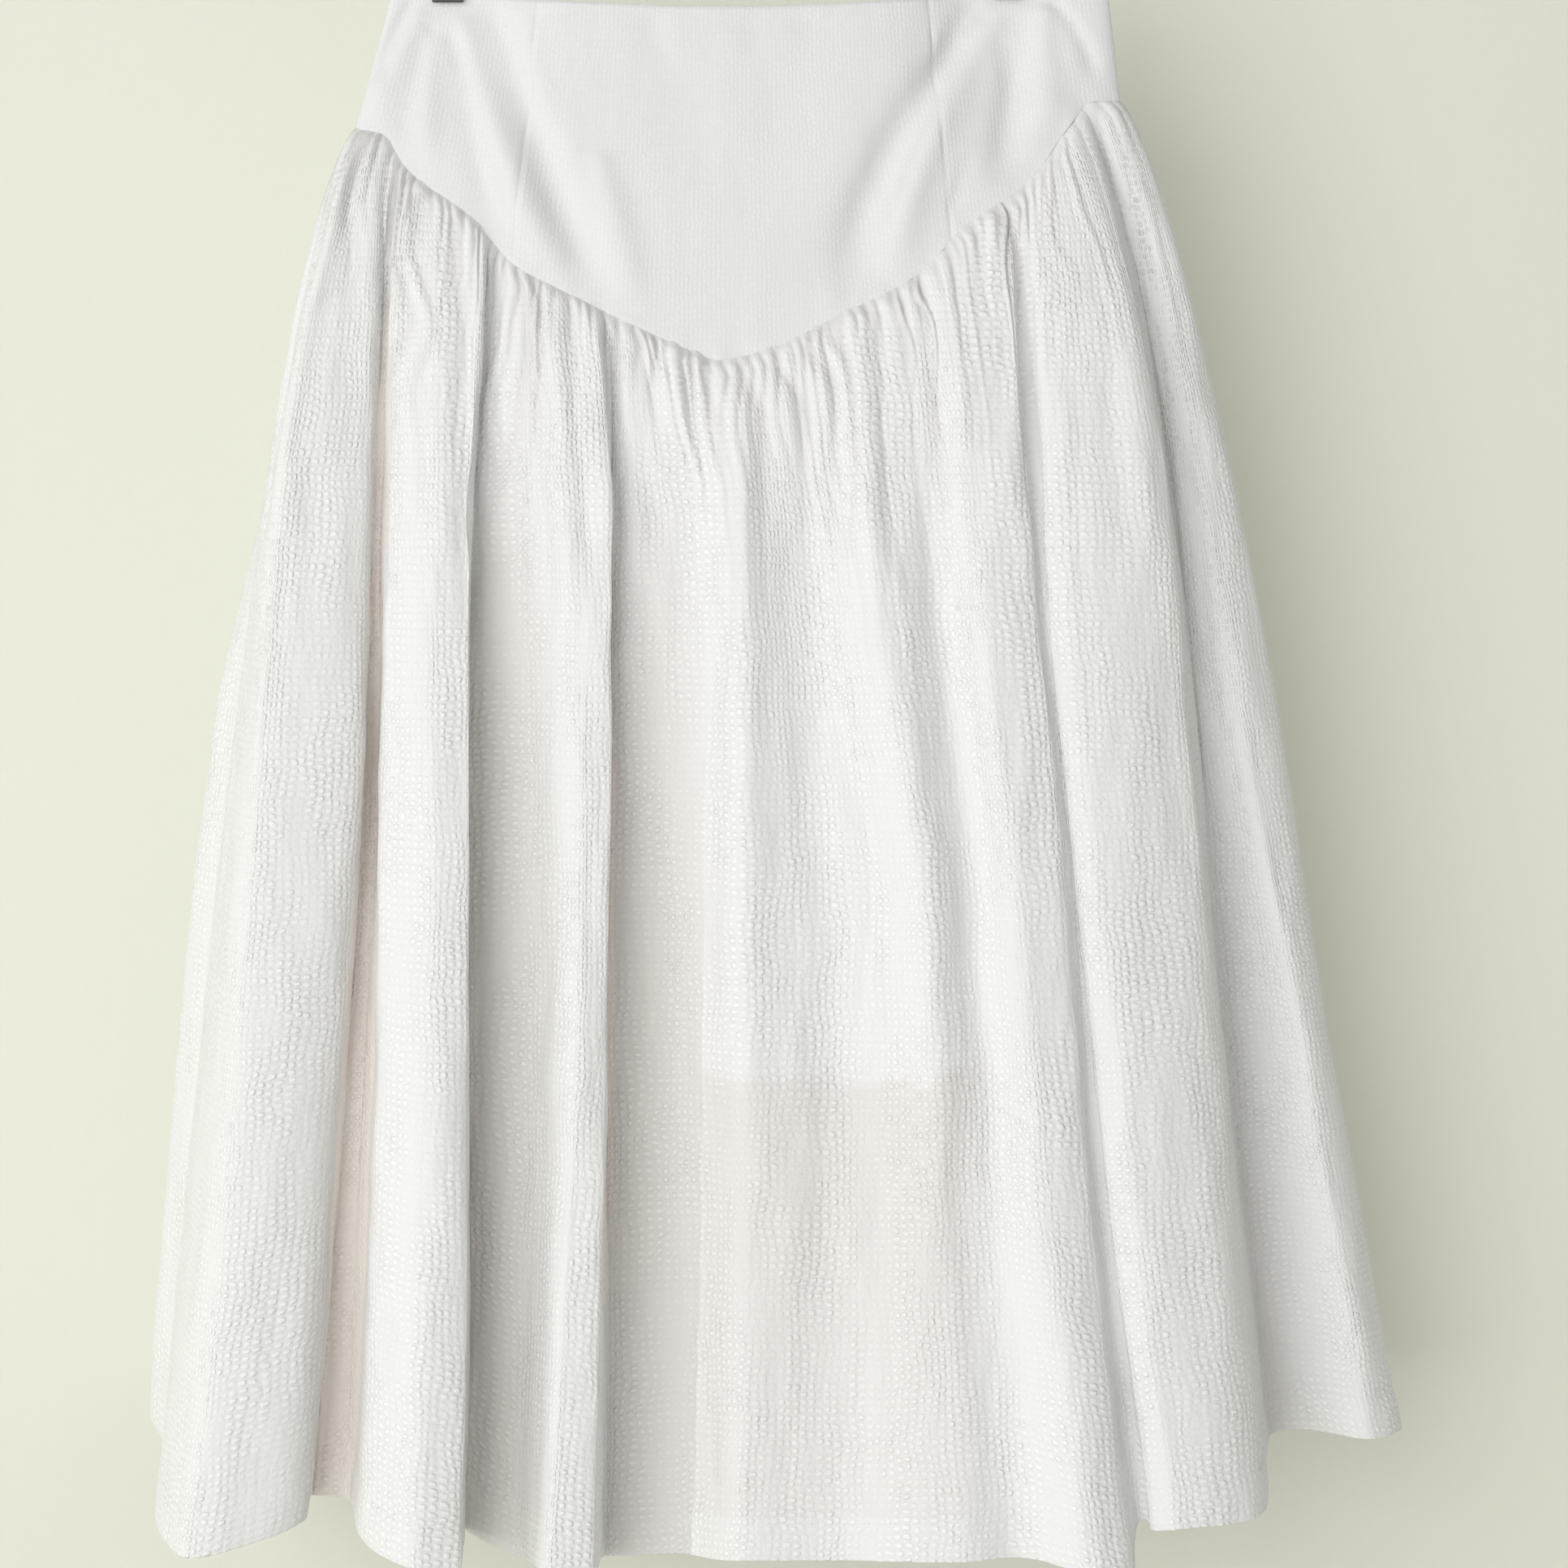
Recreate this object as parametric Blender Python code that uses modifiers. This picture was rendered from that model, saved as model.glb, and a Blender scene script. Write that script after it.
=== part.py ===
"""A white cotton midi skirt hung by its waist from a clip hanger.

A fitted yoke with a pointed lower edge carries a gathered skirt that falls in deep cone folds.
Metres, +Z up, the front faces -Y. The origin is the underside of the hook's top, where it hangs.
Tables are in millimetres and are turned into metres by MM.
"""
import math
import random
from collections import namedtuple

import bmesh
import bpy
import numpy as np
from mathutils import Matrix

MM = 0.001

# Cloth
CLOTH = 1.5 * MM              # wall of the puckered cotton
LINING = 1.0 * MM             # wall of the plain lining
SEAM_GAP = 0.3 * MM           # between two pieces at a seam
YOKE_TO_SKIRT = 0.7 * MM      # level drop from the yoke's lower edge to the gathers

# Waist, as it hangs from the two clips
CLIP_X = 147 * MM             # each clip's distance from the middle
WAIST_AT_CLIP = -168 * MM     # height of the waist's edge in the clips
WAIST_SAG = 8.5 * MM          # how far the edge sags between the clips
WAIST_DROOP = 1.5 * MM        # how far it droops at the side seams
WAIST_OUTSIDE = 45 * MM       # run of the edge outside a clip
WAIST_HALF_DEPTH = 14 * MM    # half of the open waist, front to back
CLIP_HALF_DEPTH = 3.2 * MM    # half of the four layers in a clip
CLIP_GRIP = 14 * MM           # half width of the cloth that a clip holds flat
PINCH_REACH = 28 * MM         # how far the pinch spreads from a clip

# Yoke
YOKE_DEPTH = 192 * MM         # waist at a clip to the yoke's point
YOKE_FRONT_HALF_DEPTH = 30 * MM
YOKE_BACK_HALF_DEPTH = 27 * MM
SIDE_ROUNDNESS = 2.6          # exponent of the flattened tube's plan
YOKE_SIDE_COLUMNS = 9
YOKE_CENTRE_COLUMNS = 18
YOKE_BACK_COLUMNS = 15
YOKE_ROWS = 11
LEFT_RUN = 69.5 * MM          # waist to the yoke's lower edge at the left side
RIGHT_RUN = 55 * MM           # and at the right
LINING_HOLD = 1.35            # how much farther the clips' pinch spreads in the lining

# Vertical seams of the yoke: where each starts at the waist and ends at the yoke's lower edge
Station = namedtuple("Station", "name waist seam")
SIDE_LEFT = Station("left side seam", -177.5, -197.5)
PRINCESS_LEFT = Station("left princess seam", -99.0, -112.0)
PRINCESS_RIGHT = Station("right princess seam", 106.0, 118.0)
SIDE_RIGHT = Station("right side seam", 201.5, 208.3)
CENTRE_BACK = Station("centre back seam", 12.0, 5.4)

# Lower edge of the yoke, left to right: across, height
SeamPoint = namedtuple("SeamPoint", "x z")
FRONT_SEAM = (
    SeamPoint(-197.5, -237.5),    # left side seam
    SeamPoint(-181.0, -241.5),
    SeamPoint(-169.0, -259.0),
    SeamPoint(-133.0, -286.5),
    SeamPoint(-112.0, -310.0),
    SeamPoint(-82.0, -326.0),
    SeamPoint(-28.0, -351.5),
    SeamPoint(-4.0, -360.5),      # the point
    SeamPoint(20.0, -355.0),
    SeamPoint(60.0, -336.5),
    SeamPoint(102.5, -314.0),
    SeamPoint(123.0, -292.0),
    SeamPoint(159.5, -266.0),
    SeamPoint(180.0, -237.5),
    SeamPoint(192.0, -224.5),
    SeamPoint(208.3, -223.0),     # right side seam
)
BACK_SEAM = (
    SeamPoint(-197.5, -237.5),
    SeamPoint(-160.0, -250.0),
    SeamPoint(-80.0, -284.0),
    SeamPoint(5.4, -300.0),       # centre back
    SeamPoint(95.0, -282.0),
    SeamPoint(170.0, -242.0),
    SeamPoint(208.3, -223.0),
)

# Folds that the clips drag into the yoke: top and foot of each, its bow to the side,
# its half width and how far it stands out (plus) or sinks in (minus)
Drag = namedtuple("Drag", "top_x top_z foot_x foot_z bow half_width rise")
FRONT_DRAGS = (
    Drag(-139, -172, -86, -322, -4, 13, 3.2),
    Drag(-124, -176, -64, -330, -6, 10, -2.6),
    Drag(-70, -255, -50, -335, 0, 12, 1.4),
    Drag(-147, -205, -122, -300, 4, 8, -2.2),
    Drag(-158, -180, -160, -262, 0, 9, 1.8),
    Drag(-165, -180, -176, -236, -5, 8, -1.4),
    Drag(134, -176, 62, -330, -10, 11, -2.8),
    Drag(146, -180, 84, -318, -8, 11, 2.8),
    Drag(154, -175, 150, -268, 3, 7, -2.4),
    Drag(172, -172, 168, -238, 0, 11, 2.0),
    Drag(182, -174, 197, -216, 0, 6, -1.4),
    Drag(-8, -200, 12, -262, 0, 22, -0.9),
)
BACK_DRAGS = (
    Drag(-138, -174, -80, -280, -5, 13, 2.8),
    Drag(-122, -178, -58, -280, -5, 10, -2.2),
    Drag(-156, -180, -164, -240, 0, 9, 1.6),
    Drag(138, -176, 78, -276, -7, 12, 2.8),
    Drag(122, -178, 60, -280, -6, 10, -2.2),
    Drag(168, -176, 172, -232, 0, 10, 1.8),
)

# Lines that run down the gathered skirt: the flanks, crest and valley of each fold.
# Each row gives how far across the line is at the yoke seam, at a quarter, a half and three
# quarters of the way down and at the hem, then its depth and height at the hem.
FoldLine = namedtuple("FoldLine", "name seam quarter half low hem hem_depth hem_height")
FRONT_LINES = (
    FoldLine("left side seam", -197.5, -246, -275, -297, -317, 20, -957),
    FoldLine("fold A, outer flank", -195.5, -241, -265, -284, -305.5, -48, -979),
    FoldLine("fold A, crest", -188.5, -228, -244, -258, -279, -98, -980),
    FoldLine("fold A, inner flank", -179, -184, -191, -205, -223.5, -86, -970),
    FoldLine("valley A to B, near side", -173, -185.5, -192.5, -206, -224, -36, -966),
    FoldLine("valley A to B, far side", -170.5, -180.5, -186, -196, -208, -36, -966),
    FoldLine("fold B, left flank", -165, -175.5, -178.5, -185.5, -191.5, -78, -980),
    FoldLine("fold B, crest", -149, -150, -149, -151, -158, -103, -986),
    FoldLine("fold B, right flank", -128, -132.5, -132.5, -132.5, -137, -94, -992),
    FoldLine("valley B to C", -119, -135.5, -138, -138, -142, -44, -984),
    FoldLine("fold C, left slope", -106, -106, -105, -107, -112, -52, -995),
    FoldLine("fold C, crest", -83, -73, -72.5, -81, -90, -100, -987),
    FoldLine("fold C, right flank", -69, -59, -60, -63.5, -68, -92, -993),
    FoldLine("valley C to D", -59, -61.5, -65.5, -64, -66, -44, -1000),
    FoldLine("fold D, left slope", -47, -32, -30, -28, -26, -52, -995),
    FoldLine("fold D, first crest", 3, 12, 13, 12, 9, -89, -986),
    FoldLine("fold D, trough", 24, 44, 58, 58, 56, -84, -988),
    FoldLine("fold D, second crest", 62, 84, 106, 112, 118, -98, -983),
    FoldLine("trough D to E", 92, 112, 130, 140, 152, -90, -984),
    FoldLine("fold E, crest", 113, 135, 153, 170, 191, -107, -987),
    FoldLine("fold E, right flank", 142, 158.5, 175.5, 192, 213.5, -94, -993),
    FoldLine("valley E to F, near side", 149.6, 161.6, 178.4, 194.8, 216.8, -72, -968),
    FoldLine("valley E to F, far side", 151.6, 164.8, 181.7, 198.1, 220.2, -72, -968),
    FoldLine("fold F, left flank", 158, 166.8, 183.4, 200.2, 222.2, -80, -972),
    FoldLine("fold F, crest", 168, 182, 197, 214, 238, -90, -969.5),
    FoldLine("fold F, right flank", 181, 229, 248, 266, 288, -56, -968),
    FoldLine("valley F to G", 189.5, 235, 258, 279, 301, 10, -948),
    FoldLine("fold G, left slope", 195, 241, 270, 296, 320, 2, -944),
    FoldLine("fold G, crest", 200.5, 252, 284, 318, 351, -10, -945),
    FoldLine("fold G, outer flank", 206, 268, 304, 339, 376, 22, -948),
)
BACK_LINES = (
    FoldLine("right side seam", 208.3, 263, 298, 332, 368, 50, -947),
    FoldLine("fold T, outer flank", 206, 252, 286, 318, 350, 80, -948),
    FoldLine("fold T, crest", 198, 232, 262, 290, 318, 102, -956),
    FoldLine("fold T, inner flank", 187, 208, 232, 254, 276, 72, -960),
    FoldLine("valley T to U", 177, 194, 208, 222, 234, 40, -962),
    FoldLine("fold U, right flank", 165, 176, 186, 196, 206, 76, -968),
    FoldLine("fold U, crest", 140, 150, 158, 166, 174, 108, -974),
    FoldLine("fold U, left flank", 117, 124, 128, 134, 140, 74, -974),
    FoldLine("valley U to V", 107, 110, 110, 112, 112, 42, -974),
    FoldLine("fold V, right flank", 94, 96, 94, 94, 92, 78, -980),
    FoldLine("fold V, crest", 66, 68, 66, 64, 62, 110, -984),
    FoldLine("fold V, left flank", 30, 34, 36, 34, 32, 84, -985),
    FoldLine("centre back seam", 5.4, 5, 5, 4, 4, 66, -984),
    FoldLine("fold W, right flank", -22, -28, -32, -34, -36, 82, -985),
    FoldLine("fold W, crest", -52, -58, -64, -68, -72, 108, -984),
    FoldLine("fold W, left flank", -82, -92, -96, -100, -104, 76, -979),
    FoldLine("valley W to X", -94, -106, -112, -118, -124, 44, -974),
    FoldLine("fold X, right flank", -106, -122, -130, -138, -146, 76, -971),
    FoldLine("fold X, crest", -130, -150, -162, -174, -186, 104, -968),
    FoldLine("fold X, left flank", -157, -178, -194, -210, -226, 74, -961),
    FoldLine("valley X to Z", -170, -194, -214, -232, -248, 46, -955),
    FoldLine("fold Z, inner flank", -180, -210, -236, -256, -276, 62, -952),
    FoldLine("fold Z, crest", -189, -236, -268, -291, -309, 74, -951),
    FoldLine("fold Z, outer flank", -196, -250, -288, -312, -330, 52, -950),
)
DOWN = (0.0, 0.25, 0.5, 0.75, 1.0)        # where a line's five places lie
SPREAD_POWER = 0.7                        # the folds spread fastest just under the seam
DEPTH_POWER = 0.6                         # and deepen faster still

SKIRT_ROWS = (0.0, 0.012, 0.03, 0.06, 0.11, 0.19, 0.30, 0.44, 0.58, 0.72, 0.86, 1.0)
FRONT_PITCH = 10.6 * MM                   # cloth to a column at the hem, two columns to a gather
BACK_PITCH = 11.5 * MM
SEAM_COLUMNS = 6                          # columns over which the gathers fade to a side seam
SEAM_EASE = 0.05                          # share of the drop that follows the yoke's edge
GATHER_RISE = 1.7 * MM                    # how far a gather swings out or in at the seam
GATHER_LENGTH = (24 * MM, 70 * MM)        # shortest and longest run of a gather
GATHER_SEED = 7

# Lining
LINING_HEM = -722 * MM
LINING_HALF_DEPTH = 20 * MM
LINING_LEFT_HEM = -204 * MM
LINING_RIGHT_HEM = 214 * MM
LINING_INSET = 7.0 * MM                   # extra clearance that it gains below the waist
LINING_INSET_RUN = 60 * MM
LINING_FREE_BELOW = -340 * MM             # under this height it hangs clear of the yoke
LINING_COLUMNS = 18
LINING_ROWS = (0.0, 0.04, 0.1, 0.2, 0.36, 0.62, 1.0)

# Zip at the centre back
SLIDER_SIZE = (6 * MM, 2.2 * MM, 9 * MM)
SLIDER_DROP = 12 * MM                     # waist edge to the slider's middle
EAR_THICKNESS = 0.9 * MM
EAR_GAP = 2.4 * MM
EAR_REACH = 2.6 * MM
PIVOT_OUT = 1.6 * MM                      # pull's pivot, out from the slider's face
BARREL_RADIUS = 0.8 * MM
PULL_LENGTH = 24 * MM
PULL_WIDTH = 5 * MM
PULL_THICKNESS = 1.0 * MM
PULL_NECK = 3.4 * MM

# Clip hanger
BAR_HEIGHT = -118 * MM
BAR_RADIUS = 2.5 * MM
BAR_HALF_LENGTH = 205 * MM
WIRE_RADIUS = 1.9 * MM
HOOK_INSIDE = 20 * MM
HOOK_NECK_RADIUS = 12 * MM
HOOK_END = math.radians(200)
JAW_HALF_WIDTH = 8 * MM
JAW_THICKNESS = 1.6 * MM
LEFT_JAW_BOTTOM = -172.6 * MM
RIGHT_JAW_BOTTOM = -170.6 * MM
PAD_TOP = -158 * MM
SADDLE_THICKNESS = 1.0 * MM
SADDLE_HALF_WIDTH = 5.5 * MM


def clear_scene():
    for old in list(bpy.data.objects):
        bpy.data.objects.remove(old, do_unlink=True)


def collection(name):
    group = bpy.data.collections.new(name)
    bpy.context.scene.collection.children.link(group)
    return group


def material(name, colour, roughness, metallic=0.0):
    finish = bpy.data.materials.new(name)
    finish.use_nodes = True
    shader = finish.node_tree.nodes["Principled BSDF"]
    shader.inputs["Base Color"].default_value = (*colour, 1.0)
    shader.inputs["Roughness"].default_value = roughness
    shader.inputs["Metallic"].default_value = metallic
    return finish


def add_object(name, data, group, finish):
    item = bpy.data.objects.new(name, data)
    item.data.materials.append(finish)
    group.objects.link(item)
    return item


def curve_through(knots, values, places):
    """Smooth curve through values (knots x n) read at places; it never swings past a value."""
    step = np.diff(knots)
    slope = np.diff(values, axis=0) / step[:, None]
    tangent = np.zeros_like(values)
    before, after = slope[:-1], slope[1:]
    heavy = (2 * step[1:] + step[:-1])[:, None]
    light = (step[1:] + 2 * step[:-1])[:, None]
    same_way = before * after > 0
    safe_before = np.where(same_way, before, 1.0)
    safe_after = np.where(same_way, after, 1.0)
    middle = (heavy + light) / (heavy / safe_before + light / safe_after)
    tangent[1:-1] = np.where(same_way, middle, 0.0)
    tangent[0], tangent[-1] = slope[0], slope[-1]
    span = np.clip(np.searchsorted(knots, places, side="right") - 1, 0, len(step) - 1)
    width = step[span][:, None]
    t = (places - knots[span])[:, None] / width
    start, end = values[span], values[span + 1]
    out_of, into = tangent[span] * width, tangent[span + 1] * width
    return (start * (1 + 2 * t) * (1 - t) ** 2 + out_of * t * (1 - t) ** 2
            + end * t * t * (3 - 2 * t) + into * t * t * (t - 1))


def blend(a, b, share):
    return a + (b - a) * share


def wall(name, outer, inner, group, finish):
    """A closed cloth wall between two grids of points, its outer and its inner face."""
    rows, columns, _ = outer.shape
    mesh = bpy.data.meshes.new(name)
    shape = bmesh.new()
    out = [[shape.verts.new(outer[r, c]) for c in range(columns)] for r in range(rows)]
    inn = [[shape.verts.new(inner[r, c]) for c in range(columns)] for r in range(rows)]
    for r in range(rows - 1):
        for c in range(columns - 1):
            shape.faces.new((out[r][c], out[r + 1][c], out[r + 1][c + 1], out[r][c + 1]))
            shape.faces.new((inn[r][c], inn[r][c + 1], inn[r + 1][c + 1], inn[r + 1][c]))
    for c in range(columns - 1):
        shape.faces.new((out[0][c], out[0][c + 1], inn[0][c + 1], inn[0][c]))
        shape.faces.new((out[-1][c + 1], out[-1][c], inn[-1][c], inn[-1][c + 1]))
    for r in range(rows - 1):
        shape.faces.new((out[r + 1][0], out[r][0], inn[r][0], inn[r + 1][0]))
        shape.faces.new((out[r][-1], out[r + 1][-1], inn[r + 1][-1], inn[r][-1]))
    shape.to_mesh(mesh)
    shape.free()
    mesh.shade_smooth()
    mesh.set_sharp_from_angle(angle=math.radians(50))
    return add_object(name, mesh, group, finish)


def ring_directions(ring):
    """Outward direction at each point of a tube of rows, each row one closed ring."""
    around = np.roll(ring, -1, axis=1) - np.roll(ring, 1, axis=1)
    down = np.gradient(ring, axis=0)
    return unit(np.cross(down, around))


def unit(ways):
    return ways / np.maximum(np.linalg.norm(ways, axis=-1, keepdims=True), 1e-12)


def level(ways):
    """The same directions turned level, so that edges which meet share one plane."""
    return unit(ways * np.array((1.0, 1.0, 0.0)))


def panel(name, outer, out, thickness, start, end, group, finish):
    """Cuts one panel out of a tube, from ring column start to end, half a gap short at each."""
    picked = np.arange(start, end + 1) % outer.shape[1]
    face = outer[:, picked]
    back = face - out[:, picked] * thickness
    for column, inner in ((0, 1), (-1, -2)):
        shift = unit(face[:, inner] - face[:, column]) * SEAM_GAP / 2
        face[:, column] += shift
        back[:, column] += shift
    return wall(name, face, back, group, finish)


# Yoke

def waist_height(x):
    share = np.abs(x) / CLIP_X
    inside = WAIST_AT_CLIP - WAIST_SAG * (1 - share ** 2)
    outside = WAIST_AT_CLIP - WAIST_DROOP * ((np.abs(x) - CLIP_X) / WAIST_OUTSIDE) ** 2
    return np.where(share < 1, inside, outside)


def seam_height(table, x):
    across = np.array([row.x for row in table]) * MM
    height = np.array([[row.z] for row in table]) * MM
    return curve_through(across, height, np.atleast_1d(x))[:, 0]


def across_columns(stations, counts, height):
    """Columns from the first station to the last, closer together where the tube turns."""
    left, right = getattr(SIDE_LEFT, height), getattr(SIDE_RIGHT, height)
    middle, half = (left + right) / 2, (right - left) / 2
    columns = [left * MM]
    for start, end, count in zip(stations, stations[1:], counts):
        low = math.acos(max(-1, min(1, -(getattr(start, height) - middle) / half)))
        high = math.acos(max(-1, min(1, -(getattr(end, height) - middle) / half)))
        angles = np.linspace(low, high, count + 1)[1:]
        columns += list((middle - half * np.cos(angles)) * MM)
    return np.array(columns)


def drag_relief(drags, x, z):
    """How far the yoke stands out at a point because of the folds that the clips drag in it."""
    relief = np.zeros_like(x)
    for fold in drags:
        top = np.array((fold.top_x, fold.top_z)) * MM
        run = np.array((fold.foot_x, fold.foot_z)) * MM - top
        length = math.hypot(*run)
        along_way = run / length
        side_way = np.array((-along_way[1], along_way[0]))
        along = ((x - top[0]) * along_way[0] + (z - top[1]) * along_way[1]) / length
        aside = (x - top[0]) * side_way[0] + (z - top[1]) * side_way[1]
        aside = aside - fold.bow * MM * 4 * along * (1 - along)
        fade = np.clip(1 - np.abs(2 * along - 1) ** 3, 0, 1)
        relief = relief + fold.rise * MM * fade * np.exp(-(aside / (fold.half_width * MM)) ** 2)
    return relief


def yoke_sides(z):
    """The yoke's left and right outline at a height."""
    drop = WAIST_AT_CLIP - z
    left = blend(SIDE_LEFT.waist, SIDE_LEFT.seam, np.clip(drop / LEFT_RUN, 0, 1)) * MM
    right = blend(SIDE_RIGHT.waist, SIDE_RIGHT.seam, np.clip(drop / RIGHT_RUN, 0, 1)) * MM
    return left, right


def yoke_depth(x, z, side, folds=True, hold=1.0):
    """Depth of the yoke's outer face in front (side -1) or behind (side +1)."""
    down = np.clip((WAIST_AT_CLIP - z) / YOKE_DEPTH, 0, 1)
    left, right = yoke_sides(z)
    share = np.clip(np.abs((x - (left + right) / 2) / ((right - left) / 2)), 0, 1)
    turn = np.sqrt(1 - share ** SIDE_ROUNDNESS)
    deepest = YOKE_FRONT_HALF_DEPTH if side < 0 else YOKE_BACK_HALF_DEPTH
    depth = blend(WAIST_HALF_DEPTH, deepest, down ** 0.8) * turn
    beside = np.clip(np.abs(np.abs(x) - CLIP_X) - CLIP_GRIP * hold, 0, None)
    below = np.clip(WAIST_AT_CLIP - z - CLIP_GRIP * hold, 0, None) * 0.6
    held = np.exp(-(beside ** 2 + below ** 2) / (PINCH_REACH * hold) ** 2)
    depth = blend(depth, CLIP_HALF_DEPTH * np.clip(5 * turn, 0, 1), held)
    if folds:
        drags = FRONT_DRAGS if side < 0 else BACK_DRAGS
        off_side = np.clip(2 * turn - 0.6, 0, 1)
        depth = depth + drag_relief(drags, x, z) * off_side * (1 - held)
    return side * depth


def yoke_face(side, waist_x, seam_x, seam_table):
    """Outer face of the front or back yoke: rows from the waist down, columns left to right."""
    top = waist_height(waist_x)
    foot = seam_height(seam_table, seam_x)
    rows = []
    for share in np.linspace(0, 1, YOKE_ROWS + 1):
        x = blend(waist_x, seam_x, share)
        z = blend(top, foot, share)
        left, right = yoke_sides(z[[0, -1]])
        x[0], x[-1] = left[0], right[-1]
        rows.append(np.stack((x, yoke_depth(x, z, side), z), axis=1))
    return np.array(rows)


def build_yoke(group, finish):
    """Makes the five yoke panels; returns the lower edges and the directions out of them."""
    fronts = (SIDE_LEFT, PRINCESS_LEFT, PRINCESS_RIGHT, SIDE_RIGHT)
    front_counts = (YOKE_SIDE_COLUMNS, YOKE_CENTRE_COLUMNS, YOKE_SIDE_COLUMNS)
    backs = (SIDE_LEFT, CENTRE_BACK, SIDE_RIGHT)
    back_counts = (YOKE_BACK_COLUMNS, YOKE_BACK_COLUMNS)
    front = yoke_face(-1, across_columns(fronts, front_counts, "waist"),
                      across_columns(fronts, front_counts, "seam"), FRONT_SEAM)
    back = yoke_face(1, across_columns(backs, back_counts, "waist"),
                     across_columns(backs, back_counts, "seam"), BACK_SEAM)
    ring = np.concatenate((front, back[:, -2:0:-1]), axis=1)
    out = ring_directions(ring)
    out[-1] = level(out[-1])
    last = front.shape[1] - 1
    right_princess = YOKE_SIDE_COLUMNS + YOKE_CENTRE_COLUMNS
    cuts = (
        ("yoke_front_left", 0, YOKE_SIDE_COLUMNS),
        ("yoke_front_centre", YOKE_SIDE_COLUMNS, right_princess),
        ("yoke_front_right", right_princess, last),
        ("yoke_back_right", last, last + YOKE_BACK_COLUMNS),
        ("yoke_back_left", last + YOKE_BACK_COLUMNS, last + 2 * YOKE_BACK_COLUMNS),
    )
    for name, start, end in cuts:
        panel(name, ring, out, CLOTH, start, end, group, finish)
    edge = np.concatenate((ring[-1], out[-1]), axis=1)
    return edge[:last + 1], np.concatenate((edge[:1], edge[:last - 1:-1]))


# Gathered skirt

def edge_at(edge, x):
    """Depth, height and outward direction of a yoke's lower edge, on the runs between points."""
    values = np.stack([np.interp(x, edge[:, 0], edge[:, i]) for i in range(1, edge.shape[1])], axis=-1)
    return values[..., 0], values[..., 1], values[..., 2:]


def line_points(line, edge, down):
    """A fold line's point at a share of the way down from the seam to the hem."""
    places = np.array((line.seam, line.quarter, line.half, line.low, line.hem)) * MM
    start_y, start_z, _ = edge_at(edge, places[0])
    spread = np.array(DOWN) ** SPREAD_POWER
    x = curve_through(spread, places[:, None], np.atleast_1d(down ** SPREAD_POWER))[0, 0]
    y = blend(start_y, line.hem_depth * MM, down ** DEPTH_POWER)
    z = blend(start_z - YOKE_TO_SKIRT, line.hem_height * MM, down)
    return x, y, z


def read_rows(knots, along, places):
    """Points of each row of fold lines at the given places along the cloth, round the tube."""
    total = along[-1]
    wrapped = np.concatenate((along[-3:-1] - total, along, along[1:3] + total))
    grid = []
    for row in knots:
        closed = np.concatenate((row[-2:], row, row[:3]))
        grid.append(curve_through(wrapped, closed, places))
    return np.array(grid)


def gather(ring, out, seams, dice):
    """Swings every second column out and the next in, dying away below the yoke's seam."""
    count = ring.shape[1]
    gap = np.linalg.norm(np.roll(ring[0], -1, axis=0) - ring[0], axis=1)
    drop = np.linalg.norm(ring - ring[:1], axis=2)
    for c in range(count):
        off_seam = min(min(abs(c - seam), count - abs(c - seam)) for seam in seams)
        rise = min(GATHER_RISE, 0.55 * min(gap[c - 1], gap[c])) * min(1, off_seam / SEAM_COLUMNS)
        rise *= dice.uniform(0.65, 1.0) * (1 if c % 2 else -1)
        length = dice.uniform(*GATHER_LENGTH)
        ring[:, c] += out[:, c] * (rise * np.exp(-(drop[:, c] / length) ** 1.5))[:, None]


def hang_below(edge, row):
    """Lowers a row of points, left to right, where a straight run would touch the yoke's edge."""
    for corner_x, _, corner_z in edge[:, :3]:
        c = int(np.searchsorted(row[:, 0], corner_x)) - 1
        if 0 <= c < len(row) - 1:
            share = (corner_x - row[c, 0]) / (row[c + 1, 0] - row[c, 0])
            run_z = blend(row[c, 2], row[c + 1, 2], share)
            row[c:c + 2, 2] -= max(0.0, run_z - corner_z + YOKE_TO_SKIRT)


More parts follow.
